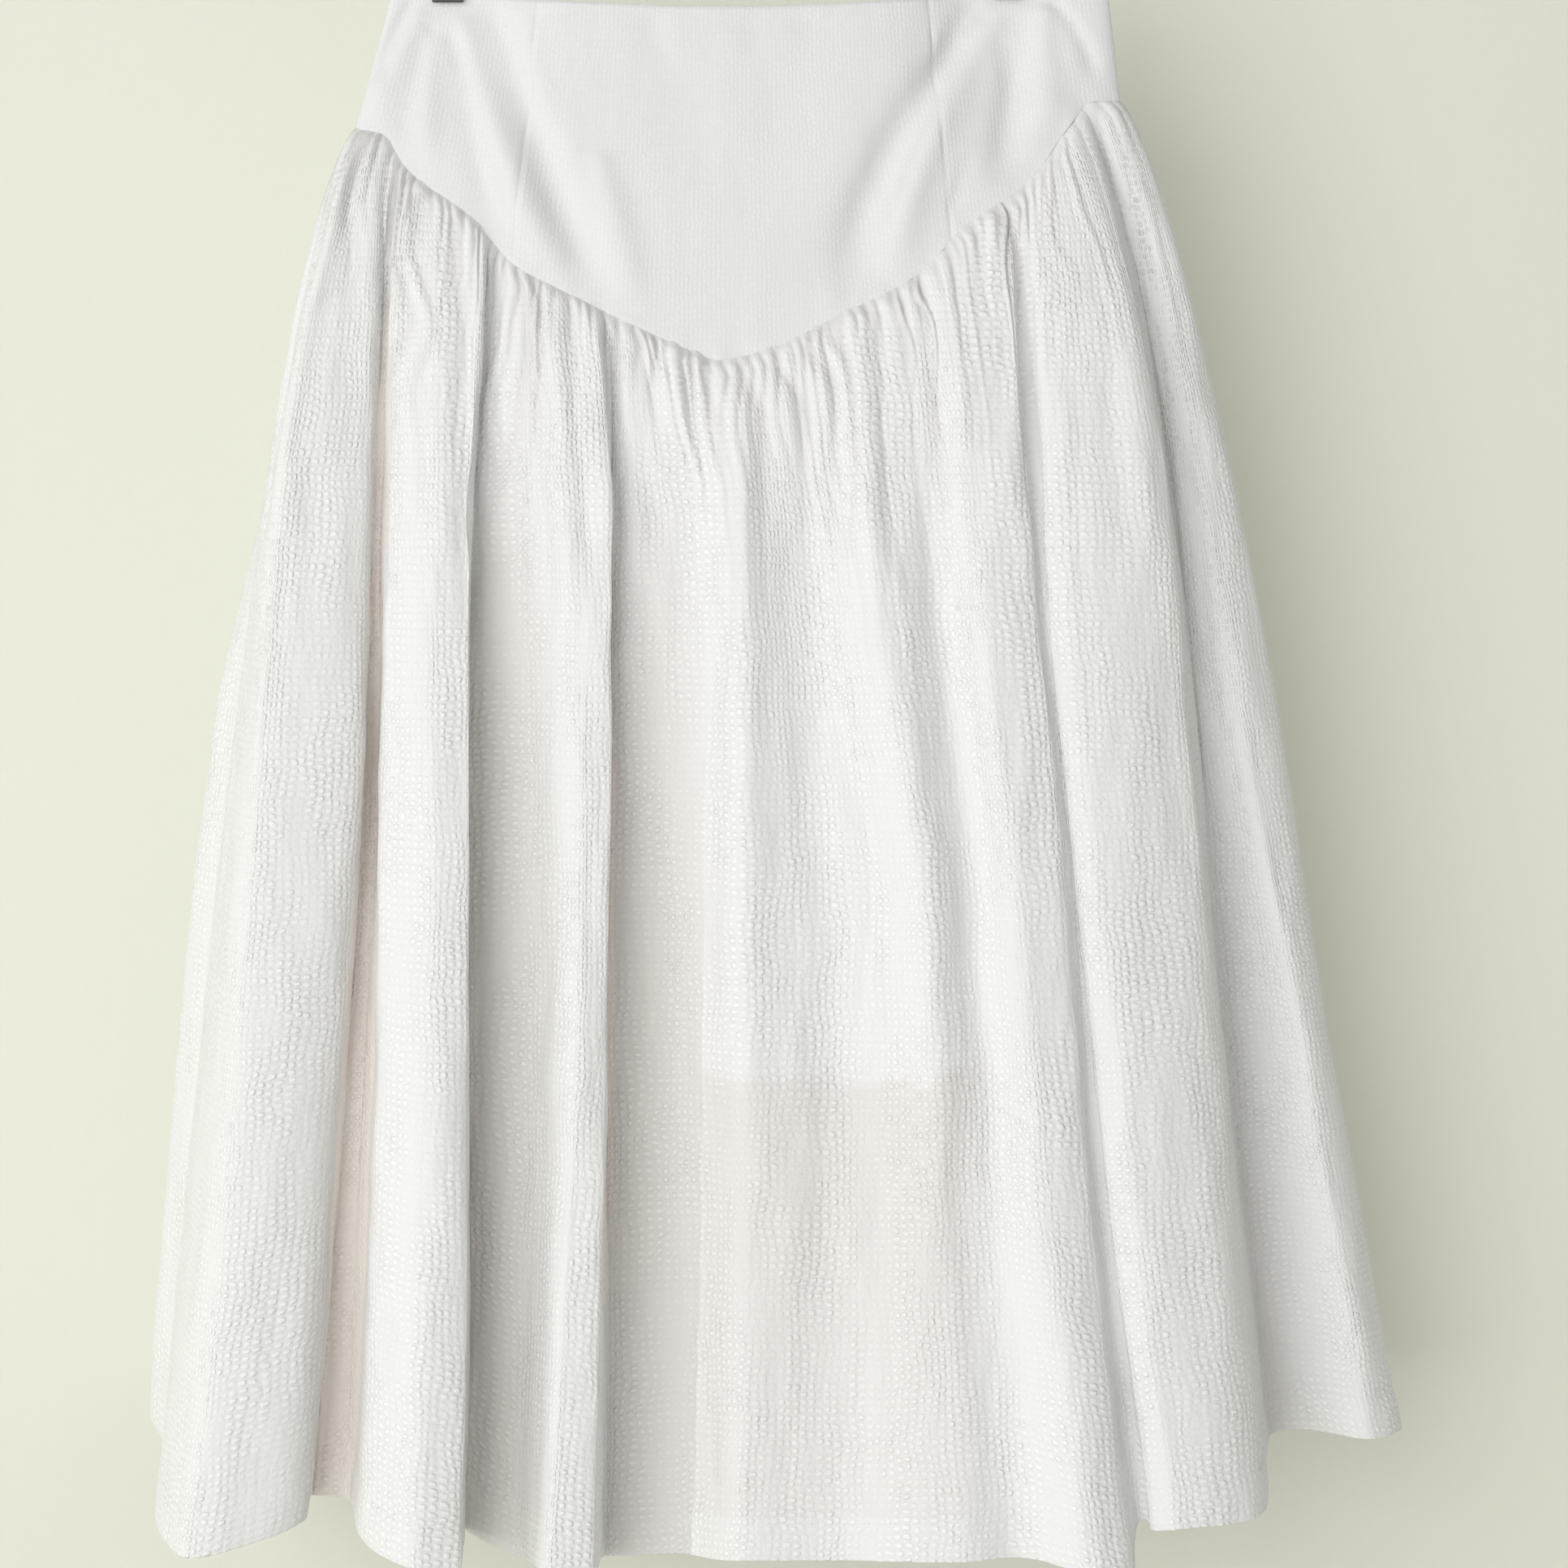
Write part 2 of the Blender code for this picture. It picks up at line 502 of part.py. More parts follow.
def build_skirt(front_edge, back_edge, group, finish):
    lines = [(line, front_edge) for line in FRONT_LINES] + [(line, back_edge) for line in BACK_LINES]
    knots = np.array([[line_points(line, edge, down) for line, edge in lines] for down in SKIRT_ROWS])
    hem = knots[-1]
    chords = np.linalg.norm(np.roll(hem, -1, axis=0) - hem, axis=1)
    along = np.concatenate(((0.0,), np.cumsum(chords)))
    right_seam = along[len(FRONT_LINES)]
    names = [line.name for line, _ in lines]
    centre_back = along[names.index("centre back seam")]
    places = []
    for start, end in zip(along, along[1:]):
        pitch = FRONT_PITCH if end <= right_seam else BACK_PITCH
        places += list(np.linspace(start, end, max(1, round((end - start) / pitch)), endpoint=False))
    places = np.array(places)
    ring = read_rows(knots, along, places)

    seams = [0] + [int(np.argmin(abs(places - seam))) for seam in (right_seam, centre_back)]
    in_front = np.arange(len(places)) <= seams[1]
    front, back = edge_at(front_edge, ring[0, :, 0]), edge_at(back_edge, ring[0, :, 0])
    depth, height = np.where(in_front, front[0], back[0]), np.where(in_front, front[1], back[1])
    way = np.where(in_front[:, None], front[2], back[2])
    fit = np.stack((np.zeros_like(depth), depth - ring[0, :, 1],
                    height - YOKE_TO_SKIRT - ring[0, :, 2]), axis=1)
    near_seam = np.exp(-np.array(SKIRT_ROWS) / SEAM_EASE)[:, None, None]
    ring += near_seam * fit
    out = unit(blend(ring_directions(ring), level(way), near_seam))
    out[0] = level(way)
    gather(ring, out, seams, random.Random(GATHER_SEED))
    hang_below(front_edge, ring[0, :seams[1] + 1])
    hang_below(back_edge, ring[0, seams[1]:][::-1])
    cuts = (("skirt_front", seams[0], seams[1]), ("skirt_back_right", seams[1], seams[2]),
            ("skirt_back_left", seams[2], len(places)))
    for name, start, end in cuts:
        panel(name, ring, out, CLOTH, start, end, group, finish)
    for label, row in (("seam", ring[0]), ("hem", ring[-1])):
        step = np.linalg.norm(np.roll(row, -1, axis=0) - row, axis=1)
        print("skirt %s: front %.0f mm, all round %.0f mm"
              % (label, step[:seams[1]].sum() / MM, step.sum() / MM))


# Lining

def lining_face(side):
    """Outer face of the lining in front or behind: rows from the waist down, left to right."""
    angles = np.linspace(0, math.pi, LINING_COLUMNS + 1)
    rows = []
    for share in LINING_ROWS:
        z_mean = blend(WAIST_AT_CLIP, LINING_HEM, share)
        left, right = yoke_sides(z_mean)
        left = blend(left, LINING_LEFT_HEM, share)
        right = blend(right, LINING_RIGHT_HEM, share)
        middle, half = (left + right) / 2, (right - left) / 2
        inset = CLOTH + SEAM_GAP + LINING_INSET * min(1, (WAIST_AT_CLIP - z_mean) / LINING_INSET_RUN)
        x = middle - (half - inset) * np.cos(angles)
        z = blend(waist_height(x), LINING_HEM, share)
        fitted = np.abs(yoke_depth(x, z, side, folds=False, hold=LINING_HOLD)) - inset
        loose = LINING_HALF_DEPTH * np.sqrt(1 - np.abs(np.cos(angles)) ** SIDE_ROUNDNESS)
        depth = np.minimum(fitted, loose) if z_mean > LINING_FREE_BELOW else loose
        depth[1:-1] = np.maximum(depth[1:-1], LINING + SEAM_GAP / 2)
        depth[0] = depth[-1] = 0.0
        rows.append(np.stack((x, side * depth, z), axis=1))
    return np.array(rows)


def build_lining(group, finish):
    front, back = lining_face(-1), lining_face(1)
    ring = np.concatenate((front, back[:, -2:0:-1]), axis=1)
    out = level(ring_directions(ring))
    last = front.shape[1] - 1
    panel("lining_front", ring, out, LINING, 0, last, group, finish)
    panel("lining_back", ring, out, LINING, last, 2 * last, group, finish)


# Hard pieces

def box(name, size, centre, group, finish):
    shape = bmesh.new()
    bmesh.ops.create_cube(shape, size=1.0)
    bmesh.ops.scale(shape, vec=size, verts=shape.verts)
    bmesh.ops.translate(shape, vec=centre, verts=shape.verts)
    mesh = bpy.data.meshes.new(name)
    shape.to_mesh(mesh)
    shape.free()
    return add_object(name, mesh, group, finish)


def rod(name, radius, length, axis, centre, sides, group, finish):
    """A cylinder along a named axis."""
    shape = bmesh.new()
    bmesh.ops.create_cone(shape, cap_ends=True, segments=sides, radius1=radius, radius2=radius,
                          depth=length)
    if axis == "X":
        turn = Matrix.Rotation(math.pi / 2, 3, "Y")
        bmesh.ops.rotate(shape, cent=(0, 0, 0), matrix=turn, verts=shape.verts)
    bmesh.ops.translate(shape, vec=centre, verts=shape.verts)
    mesh = bpy.data.meshes.new(name)
    shape.to_mesh(mesh)
    shape.free()
    return add_object(name, mesh, group, finish)


def tube_mesh(name, points, radius):
    """A round wire through the points, made a closed mesh."""
    data = bpy.data.curves.new(name, "CURVE")
    data.dimensions = "3D"
    data.bevel_depth = radius
    data.bevel_resolution = 2
    data.use_fill_caps = True
    spline = data.splines.new("POLY")
    spline.points.add(len(points) - 1)
    for place, point in zip(spline.points, points):
        place.co = (*point, 1.0)
    wire = bpy.data.objects.new(name, data)
    bpy.context.scene.collection.objects.link(wire)
    bpy.context.view_layer.update()
    mesh = bpy.data.meshes.new_from_object(wire.evaluated_get(bpy.context.evaluated_depsgraph_get()))
    bpy.data.objects.remove(wire, do_unlink=True)
    shape = bmesh.new()
    shape.from_mesh(mesh)
    bmesh.ops.remove_doubles(shape, verts=shape.verts, dist=1e-6)
    shape.to_mesh(mesh)
    shape.free()
    return mesh


def join(base, tool):
    """Fuses a tool object, kept in the cutters' collection, into a base object."""
    tool.hide_render = True
    tool.display_type = "WIRE"
    union = base.modifiers.new("with " + tool.name, "BOOLEAN")
    union.operation = "UNION"
    union.solver = "EXACT"
    union.object = tool


def profile(name, outline, half_width, centre_x, group, finish):
    """A flat outline in the Y-Z plane, extruded along X."""
    data = bpy.data.curves.new(name, "CURVE")
    data.dimensions = "2D"
    data.fill_mode = "BOTH"
    data.extrude = half_width
    spline = data.splines.new("POLY")
    spline.points.add(len(outline) - 1)
    for place, (y, z) in zip(spline.points, outline):
        place.co = (y, z, 0.0, 1.0)
    spline.use_cyclic_u = True
    item = add_object(name, data, group, finish)
    item.matrix_world = Matrix(((0, 0, 1, centre_x), (1, 0, 0, 0), (0, 1, 0, 0), (0, 0, 0, 1)))
    return item


def build_zip(group, tools, finish):
    width, depth, height = SLIDER_SIZE
    x = CENTRE_BACK.waist * MM
    z = waist_height(np.array([x]))[0] - SLIDER_DROP
    tall = np.linspace(z - height / 2, z + height / 2, 5)
    wide = np.linspace(x - width / 2, x + width / 2, 5)
    cloth = max(float(yoke_depth(np.array([a]), np.array([b]), 1)[0]) for a in wide for b in tall)
    face = cloth + SEAM_GAP + depth
    body = box("zip_slider", SLIDER_SIZE, (x, face - depth / 2, z), group, finish)
    round_edges = body.modifiers.new("round", "BEVEL")
    round_edges.width = 0.5 * MM
    round_edges.segments = 2
    pivot_y = face + PIVOT_OUT
    for way in (-1, 1):
        ear_x = x + way * (EAR_GAP + EAR_THICKNESS) / 2
        ear = box("slider_ear_%s" % ("left" if way < 0 else "right"),
                  (EAR_THICKNESS, EAR_REACH + 0.6 * MM, EAR_REACH),
                  (ear_x, face + EAR_REACH / 2 - 0.3 * MM, z), tools, finish)
        join(body, ear)

    plate_top = z - PULL_NECK
    pull = box("zip_pull", (PULL_WIDTH, PULL_THICKNESS, PULL_LENGTH - PULL_NECK),
               (x, pivot_y, plate_top - (PULL_LENGTH - PULL_NECK) / 2), group, finish)
    soften = pull.modifiers.new("round", "BEVEL")
    soften.width = 0.4 * MM
    soften.segments = 2
    barrel = rod("pull_barrel", BARREL_RADIUS, EAR_GAP - 0.6 * MM, "X", (x, pivot_y, z), 16, tools, finish)
    neck = box("pull_neck", (EAR_GAP - 0.8 * MM, PULL_THICKNESS * 0.9, PULL_NECK + 0.6 * MM),
               (x, pivot_y, z - PULL_NECK / 2 - 0.3 * MM), tools, finish)
    join(pull, barrel)
    join(pull, neck)
    print("zip pull pivots at", [round(v, 5) for v in (x, pivot_y, z)])


def hook_points():
    """The hook's wire: up the shank, out round a small bend, then back over the top."""
    wire = HOOK_INSIDE + WIRE_RADIUS
    centre_z = -HOOK_INSIDE
    neck = HOOK_NECK_RADIUS
    rise = math.sqrt((neck + wire) ** 2 - neck ** 2)
    points = [(0.0, 0.0, BAR_HEIGHT + BAR_RADIUS * 0.4), (0.0, 0.0, centre_z - rise - 25 * MM)]
    meet = math.atan2(rise, -neck)
    for angle in np.linspace(math.pi, meet, 6):
        points.append((neck + neck * math.cos(angle), 0.0, centre_z - rise + neck * math.sin(angle)))
    for angle in np.linspace(meet - math.pi, HOOK_END, 26)[1:]:
        points.append((wire * math.cos(angle), 0.0, centre_z + wire * math.sin(angle)))
    return points


def build_hanger(group, tools, steel, rubber):
    bar = rod("hanger_frame", BAR_RADIUS, 2 * BAR_HALF_LENGTH, "X", (0, 0, BAR_HEIGHT), 16, group, steel)
    hook = add_object("hanger_hook", tube_mesh("hanger_hook", hook_points(), WIRE_RADIUS), tools, steel)
    join(bar, hook)

    grip = CLIP_HALF_DEPTH + SEAM_GAP * 1.5
    inner = BAR_RADIUS + SEAM_GAP + SADDLE_THICKNESS
    saddle = []
    for radius, angles in ((inner, np.linspace(math.pi, 0, 9)), (inner - SADDLE_THICKNESS, np.linspace(0, math.pi, 9))):
        foot = -148 * MM
        arc = [(radius * math.cos(a), BAR_HEIGHT + radius * math.sin(a)) for a in angles]
        saddle += [(arc[0][0], foot)] + arc + [(arc[-1][0], foot)]
    jaw_in = inner + SEAM_GAP
    jaw_out = jaw_in + JAW_THICKNESS
    pad_out = jaw_in + 1.2 * MM - SEAM_GAP
    for word, x, bottom in (("left", -CLIP_X, LEFT_JAW_BOTTOM), ("right", CLIP_X, RIGHT_JAW_BOTTOM)):
        jaw = [
            (jaw_in + 6 * MM, -100 * MM), (jaw_in, -116 * MM), (jaw_in, -146 * MM),
            (jaw_in + 1.5 * MM, PAD_TOP), (jaw_in + 1.2 * MM, bottom + 1 * MM),
            (jaw_out + 1.2 * MM, bottom), (jaw_out + 1.5 * MM, PAD_TOP), (jaw_out, -146 * MM),
            (jaw_out, -116 * MM), (jaw_out + 6 * MM, -101 * MM),
        ]
        pad = [(grip, bottom), (grip, PAD_TOP), (pad_out, PAD_TOP), (pad_out, bottom + 0.6 * MM)]
        profile("clip_%s_saddle" % word, saddle, SADDLE_HALF_WIDTH, x, group, steel)
        for face, way in (("front", -1), ("back", 1)):
            turned = [(way * y, z) for y, z in jaw]
            profile("clip_%s_%s_jaw" % (word, face), turned, JAW_HALF_WIDTH, x, group, steel)
            turned = [(way * y, z) for y, z in pad]
            profile("clip_%s_%s_pad" % (word, face), turned, JAW_HALF_WIDTH, x, group, rubber)


def main():
    clear_scene()
    group = collection("midi_skirt")
    tools = collection("cutters")
    cotton = material("cotton", (0.83, 0.83, 0.85), 0.85)
    lining = material("lining", (0.85, 0.84, 0.83), 0.7)
    steel = material("steel", (0.55, 0.55, 0.57), 0.3, 1.0)
    rubber = material("rubber", (0.05, 0.05, 0.055), 0.7)
    zip_paint = material("zip_paint", (0.85, 0.85, 0.86), 0.35)
    front_edge, back_edge = build_yoke(group, cotton)
    build_skirt(front_edge, back_edge, group, cotton)
    build_lining(group, lining)
    build_zip(group, tools, zip_paint)
    build_hanger(group, tools, steel, rubber)


main()
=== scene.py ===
# %% [markdown]
# # A white seersucker skirt on a clip hanger
#
# A midi skirt of puckered white cotton hangs by its waist from two clips. A smooth fitted yoke
# with a pointed lower edge carries a gathered skirt, which falls in deep cone folds. We load the
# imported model, then build every cloth panel again as a fine, thin sheet on the form of its solid.
# All sizes are in millimetres in the tables and in metres in the scene.

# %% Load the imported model
import math
from collections import namedtuple

import bmesh
import bpy
import numpy as np
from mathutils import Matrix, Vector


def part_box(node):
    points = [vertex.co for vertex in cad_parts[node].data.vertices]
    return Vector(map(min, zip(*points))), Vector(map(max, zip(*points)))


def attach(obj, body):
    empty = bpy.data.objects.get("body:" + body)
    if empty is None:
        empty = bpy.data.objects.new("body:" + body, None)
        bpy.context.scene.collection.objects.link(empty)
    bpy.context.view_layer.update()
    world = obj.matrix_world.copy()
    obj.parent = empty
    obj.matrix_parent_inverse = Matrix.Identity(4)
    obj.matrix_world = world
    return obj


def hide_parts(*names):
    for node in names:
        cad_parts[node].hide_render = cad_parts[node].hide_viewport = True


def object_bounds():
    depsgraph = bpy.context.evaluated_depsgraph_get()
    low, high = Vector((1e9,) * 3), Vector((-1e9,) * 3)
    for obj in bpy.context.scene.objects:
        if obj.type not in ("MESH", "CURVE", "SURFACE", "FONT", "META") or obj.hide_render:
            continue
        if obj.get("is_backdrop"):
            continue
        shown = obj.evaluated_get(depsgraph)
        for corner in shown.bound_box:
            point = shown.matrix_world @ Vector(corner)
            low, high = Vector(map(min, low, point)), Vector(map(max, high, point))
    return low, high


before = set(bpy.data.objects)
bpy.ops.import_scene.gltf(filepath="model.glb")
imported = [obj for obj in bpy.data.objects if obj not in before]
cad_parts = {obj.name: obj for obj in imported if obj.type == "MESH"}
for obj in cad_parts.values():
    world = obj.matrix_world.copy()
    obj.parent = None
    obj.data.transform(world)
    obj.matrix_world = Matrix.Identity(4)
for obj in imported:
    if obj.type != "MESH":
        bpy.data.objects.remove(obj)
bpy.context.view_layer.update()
MM = 0.001
BODY = "skirt_and_hanger"

# %% [markdown]
# ## The camera
#
# The picture was taken from a metre and a half away at about the height of the hips, looking a
# little down, so the folds that come forward at the hem look longer than those behind. The
# camera comes first, because every later choice is judged through it.

# %% Camera
def linked(name, data):
    """A new object of the data, linked to the scene."""
    made = bpy.data.objects.new(name, data)
    bpy.context.scene.collection.objects.link(made)
    return made


CAMERA_PLACE = (0.030, -1.566, -0.448)
CAMERA_TILT = math.radians(84.96)
camera_data = bpy.data.cameras.new("photo_camera")
camera_data.lens = 66.8
camera_data.sensor_width = 36.0
camera = linked("photo_camera", camera_data)
camera.location = CAMERA_PLACE
camera.rotation_euler = (CAMERA_TILT, 0.0, 0.0)
bpy.context.scene.camera = camera
print("camera at", CAMERA_PLACE)

# %% [markdown]
# ## Small tools for curves and directions
#
# Cloth shapes are worked out with arrays. `curve_through` draws a smooth curve through a few
# values and never swings past one, so a fold gets no bump that its table doesn't ask for.

# %% Curves and directions
def blend(a, b, share):
    return a + (b - a) * share


def ease(t):
    """0 to 1 with a soft start and end."""
    t = np.clip(t, 0, 1)
    return t * t * (3 - 2 * t)


def unit(ways):
    return ways / np.maximum(np.linalg.norm(ways, axis=-1, keepdims=True), 1e-12)


def level(ways):
    return unit(ways * np.array((1.0, 1.0, 0.0)))


def curve_through(knots, values, places):
    """Smooth curve through values (knots x n) read at places."""
    step = np.diff(knots)
    slope = np.diff(values, axis=0) / step[:, None]
    tangent = np.zeros_like(values)
    before, after = slope[:-1], slope[1:]
    heavy = (2 * step[1:] + step[:-1])[:, None]
    light = (step[1:] + 2 * step[:-1])[:, None]
    same_way = before * after > 0
    safe_before = np.where(same_way, before, 1.0)
    safe_after = np.where(same_way, after, 1.0)
    middle = (heavy + light) / (heavy / safe_before + light / safe_after)
    tangent[1:-1] = np.where(same_way, middle, 0.0)
    tangent[0], tangent[-1] = slope[0], slope[-1]
    span = np.clip(np.searchsorted(knots, places, side="right") - 1, 0, len(step) - 1)
    width = step[span][:, None]
    t = (places - knots[span])[:, None] / width
    start, end = values[span], values[span + 1]
    out_of, into = tangent[span] * width, tangent[span + 1] * width
    return (start * (1 + 2 * t) * (1 - t) ** 2 + out_of * t * (1 - t) ** 2
            + end * t * t * (3 - 2 * t) + into * t * t * (t - 1))


def ring_directions(ring):
    """Outward direction at each point of a tube of rows, each row one closed ring."""
    around = np.roll(ring, -1, axis=1) - np.roll(ring, 1, axis=1)
    down = np.gradient(ring, axis=0)
    return unit(np.cross(down, around))


def places_round(points):
    """How far round a closed line each of its points lies, with the whole length last."""
    steps = np.linalg.norm(np.roll(points, -1, axis=0) - points, axis=1)
    return np.concatenate(((0.0,), np.cumsum(steps)))


def unevenness(seed, across, down):
    """Soft random hills and hollows from -1 to 1 over two coordinates, one hill to a unit."""
    dice = np.random.default_rng(seed)
    low_a, low_d = math.floor(across.min()), math.floor(down.min())
    shape = (math.ceil(across.max()) - low_a + 3, math.ceil(down.max()) - low_d + 3)
    hills = dice.uniform(-1, 1, shape)
    a, d = across - low_a, down - low_d
    i, j = a.astype(int), d.astype(int)
    s, t = ease(a - i), ease(d - j)
    near = blend(hills[i, j], hills[i + 1, j], s)
    far = blend(hills[i, j + 1], hills[i + 1, j + 1], s)
    return blend(near, far, t)


# A kind of soft hill in the cloth: its seed, its height, width and length in mm, and its slant
Swell = namedtuple("Swell", "seed height wide long slant", defaults=(0.0,))


def swells(table, across, down):
    """How far the hills of a table lift each point of the cloth."""
    return sum(kind.height * MM * unevenness(kind.seed, across / (kind.wide * MM),
                                             (down + across * kind.slant) / (kind.long * MM))
               for kind in table)


# %% [markdown]
# ## A sheet of cloth
#
# Real cloth is half a millimetre thick, so a single skin of faces shows it best, and its edges
# are turned over with a few extra rows, as a hem is. The grid also carries its own weave
# coordinates: how far round the cloth and how far down it a point lies, in metres. The puckers
# are drawn in these, so they follow the cloth into each fold.

# %% Sheets
def sheet(name, grid, weave, marks=None):
    """Makes a sheet through rows x columns of points, with its weave and any painted marks."""
    rows, columns, _ = grid.shape
    corner = np.arange(rows * columns).reshape(rows, columns)
    quads = np.stack((corner[:-1, :-1], corner[1:, :-1], corner[1:, 1:], corner[:-1, 1:]), axis=-1)
    quads = quads.reshape(-1, 4)
    mesh = bpy.data.meshes.new(name)
    mesh.from_pydata(grid.reshape(-1, 3).tolist(), [], quads.tolist())
    layer = mesh.uv_layers.new(name="weave")
    layer.uv.foreach_set("vector", weave.reshape(-1, 2)[quads.ravel()].astype(np.float32).ravel())
    for label, values in (marks or {}).items():
        attribute = mesh.attributes.new(label, "FLOAT", "POINT")
        attribute.data.foreach_set("value", np.asarray(values, np.float32).ravel())
    mesh.shade_smooth()
    return linked(name, mesh)


def area_of(piece):
    return sum(face.area for face in piece.data.polygons)


pieces = {}


def cut_panels(cuts, grid, u, v, whole_round, marks=None):
    """Cuts a tube of points into panels, each from its first column to its last."""
    for node, start, end in cuts:
        picked = np.arange(start, end + 1) % grid.shape[1]
        weave = np.stack((u[:, picked], v[:, picked]), axis=-1)
        if end == grid.shape[1]:
            weave[:, -1, 0] = whole_round
        painted = {label: values[:, picked] for label, values in (marks or {}).items()}
        pieces[node] = sheet(node + "_cloth", grid[:, picked], weave, painted)
        print("%s area %.4f m2, %d faces" % (node, area_of(pieces[node]), len(pieces[node].data.polygons)))


# %% [markdown]
# ## The yoke's sizes
#
# The yoke is a flattened tube, held flat by the two clips. Its front has a centre panel between
# two princess seams and its lower edge runs down to a point. The tables give each seam and each
# fold that the clips drag into the cloth.

# %% Yoke tables
CLIP_X = 147 * MM             # each clip's distance from the middle
WAIST_AT_CLIP = -168 * MM     # height of the waist's edge in the clips
WAIST_SAG = 8.5 * MM          # how far the edge sags between the clips
WAIST_DROOP = 1.5 * MM        # how far it droops at the side seams
WAIST_OUTSIDE = 45 * MM       # run of the edge outside a clip
WAIST_HALF_DEPTH = 14 * MM    # half of the open waist, front to back
CLIP_HALF_DEPTH = 3.2 * MM    # half of the four layers in a clip
CLIP_GRIP = 14 * MM           # half width of the cloth that a clip holds flat
PINCH_REACH = 28 * MM         # how far the pinch spreads from a clip
YOKE_DEPTH = 192 * MM         # waist at a clip to the yoke's point
YOKE_FRONT_HALF_DEPTH = 30 * MM
YOKE_BACK_HALF_DEPTH = 27 * MM
SIDE_ROUNDNESS = 2.6          # exponent of the flattened tube's plan
LEFT_RUN = 69.5 * MM          # waist to the yoke's lower edge at the left side
RIGHT_RUN = 55 * MM           # and at the right

Station = namedtuple("Station", "name waist seam")
SIDE_LEFT = Station("left side seam", -177.5, -197.5)
PRINCESS_LEFT = Station("left princess seam", -99.0, -112.0)
PRINCESS_RIGHT = Station("right princess seam", 106.0, 118.0)
SIDE_RIGHT = Station("right side seam", 201.5, 208.3)
CENTRE_BACK = Station("centre back seam", 12.0, 5.4)

SeamPoint = namedtuple("SeamPoint", "x z")
FRONT_SEAM = (
    SeamPoint(-197.5, -237.5),
    SeamPoint(-181.0, -241.5),
    SeamPoint(-169.0, -259.0),
    SeamPoint(-133.0, -286.5),
    SeamPoint(-112.0, -310.0),
    SeamPoint(-82.0, -326.0),
    SeamPoint(-28.0, -351.5),
    SeamPoint(-4.0, -360.5),
    SeamPoint(20.0, -355.0),
    SeamPoint(60.0, -336.5),
    SeamPoint(102.5, -314.0),
    SeamPoint(123.0, -292.0),
    SeamPoint(159.5, -266.0),
    SeamPoint(180.0, -237.5),
    SeamPoint(192.0, -224.5),
    SeamPoint(208.3, -223.0),
)
BACK_SEAM = (
    SeamPoint(-197.5, -237.5),
    SeamPoint(-160.0, -250.0),
    SeamPoint(-80.0, -284.0),
    SeamPoint(5.4, -300.0),
    SeamPoint(95.0, -282.0),
    SeamPoint(170.0, -242.0),
    SeamPoint(208.3, -223.0),
)

# A fold's top and foot, its bow to the side, its half width and how far it stands out, in mm
Drag = namedtuple("Drag", "top_x top_z foot_x foot_z bow half_width rise")
FRONT_DRAGS = (
    Drag(-139, -172, -86, -322, -4, 13, 3.2),
    Drag(-124, -176, -64, -330, -6, 10, -2.6),
    Drag(-70, -255, -50, -335, 0, 12, 1.4),
    Drag(-147, -205, -122, -300, 4, 8, -2.2),
    Drag(-158, -180, -160, -262, 0, 9, 1.8),
    Drag(-165, -180, -176, -236, -5, 8, -1.4),
    Drag(134, -176, 62, -330, -10, 11, -2.8),
    Drag(146, -180, 84, -318, -8, 11, 2.8),
    Drag(154, -175, 150, -268, 3, 7, -2.4),
    Drag(172, -172, 168, -238, 0, 11, 2.0),
    Drag(182, -174, 197, -216, 0, 6, -1.4),
    Drag(-8, -200, 12, -262, 0, 22, -0.9),
)
BACK_DRAGS = (
    Drag(-138, -174, -80, -280, -5, 13, 2.8),
    Drag(-122, -178, -58, -280, -5, 10, -2.2),
    Drag(-156, -180, -164, -240, 0, 9, 1.6),
    Drag(138, -176, 78, -276, -7, 12, 2.8),
    Drag(122, -178, 60, -280, -6, 10, -2.2),
    Drag(168, -176, 172, -232, 0, 10, 1.8),
)
print("folds dragged by the clips:", len(FRONT_DRAGS), "in front,", len(BACK_DRAGS), "behind")

# %% [markdown]
# ## Folds that the clips pull
#
# From each clip a fan of folds runs down to the pointed seam. They are the yoke's only shape
# besides its seams, so each one that the picture shows has a line of its own, with its two ends,
# its bow to the side, its width and how far it stands out or sinks in. The model's own table
# holds the large ones; these make them deeper and sharper and add the small ones.

# %% Fan of folds
FRONT_PULLS = (
    Drag(-140, -170, -82, -327, -9, 10, 2.6),
    Drag(-125, -170, -60, -338, -2, 9, -2.9),
    Drag(-68, -250, -44, -341, 0, 10, 1.5),
    Drag(-147, -184, -123, -300, 5, 7, -2.0),
    Drag(-157, -182, -157, -266, -1, 7, 1.8),
    Drag(-154, -182, -172, -256, -2, 6, -1.9),
    Drag(-157, -174, -189, -240, -3, 7, 1.8),
    Drag(-164, -170, -185, -218, -2, 5, -1.9),
    Drag(-108, -172, -92, -250, 0, 8, 1.0),
    Drag(139, -168, 52, -334, -6, 13, -5.4),
    Drag(146, -172, 82, -322, -8, 9, 2.3),
    Drag(152, -172, 140, -276, 3, 8, -4.4),
    Drag(166, -172, 170, -245, 0, 9, 3.0),
    Drag(170, -170, 195, -216, 4, 4.5, -2.0),
    Drag(128, -250, 117, -288, 0, 4, -1.4),
    Drag(122, -172, 90, -262, -4, 8, 1.2),
    Drag(-44, -176, -4, -296, 0, 15, -1.0),
    Drag(48, -178, 8, -296, 0, 17, -1.0),
    Drag(4, -186, 0, -262, 0, 14, 0.8),
)
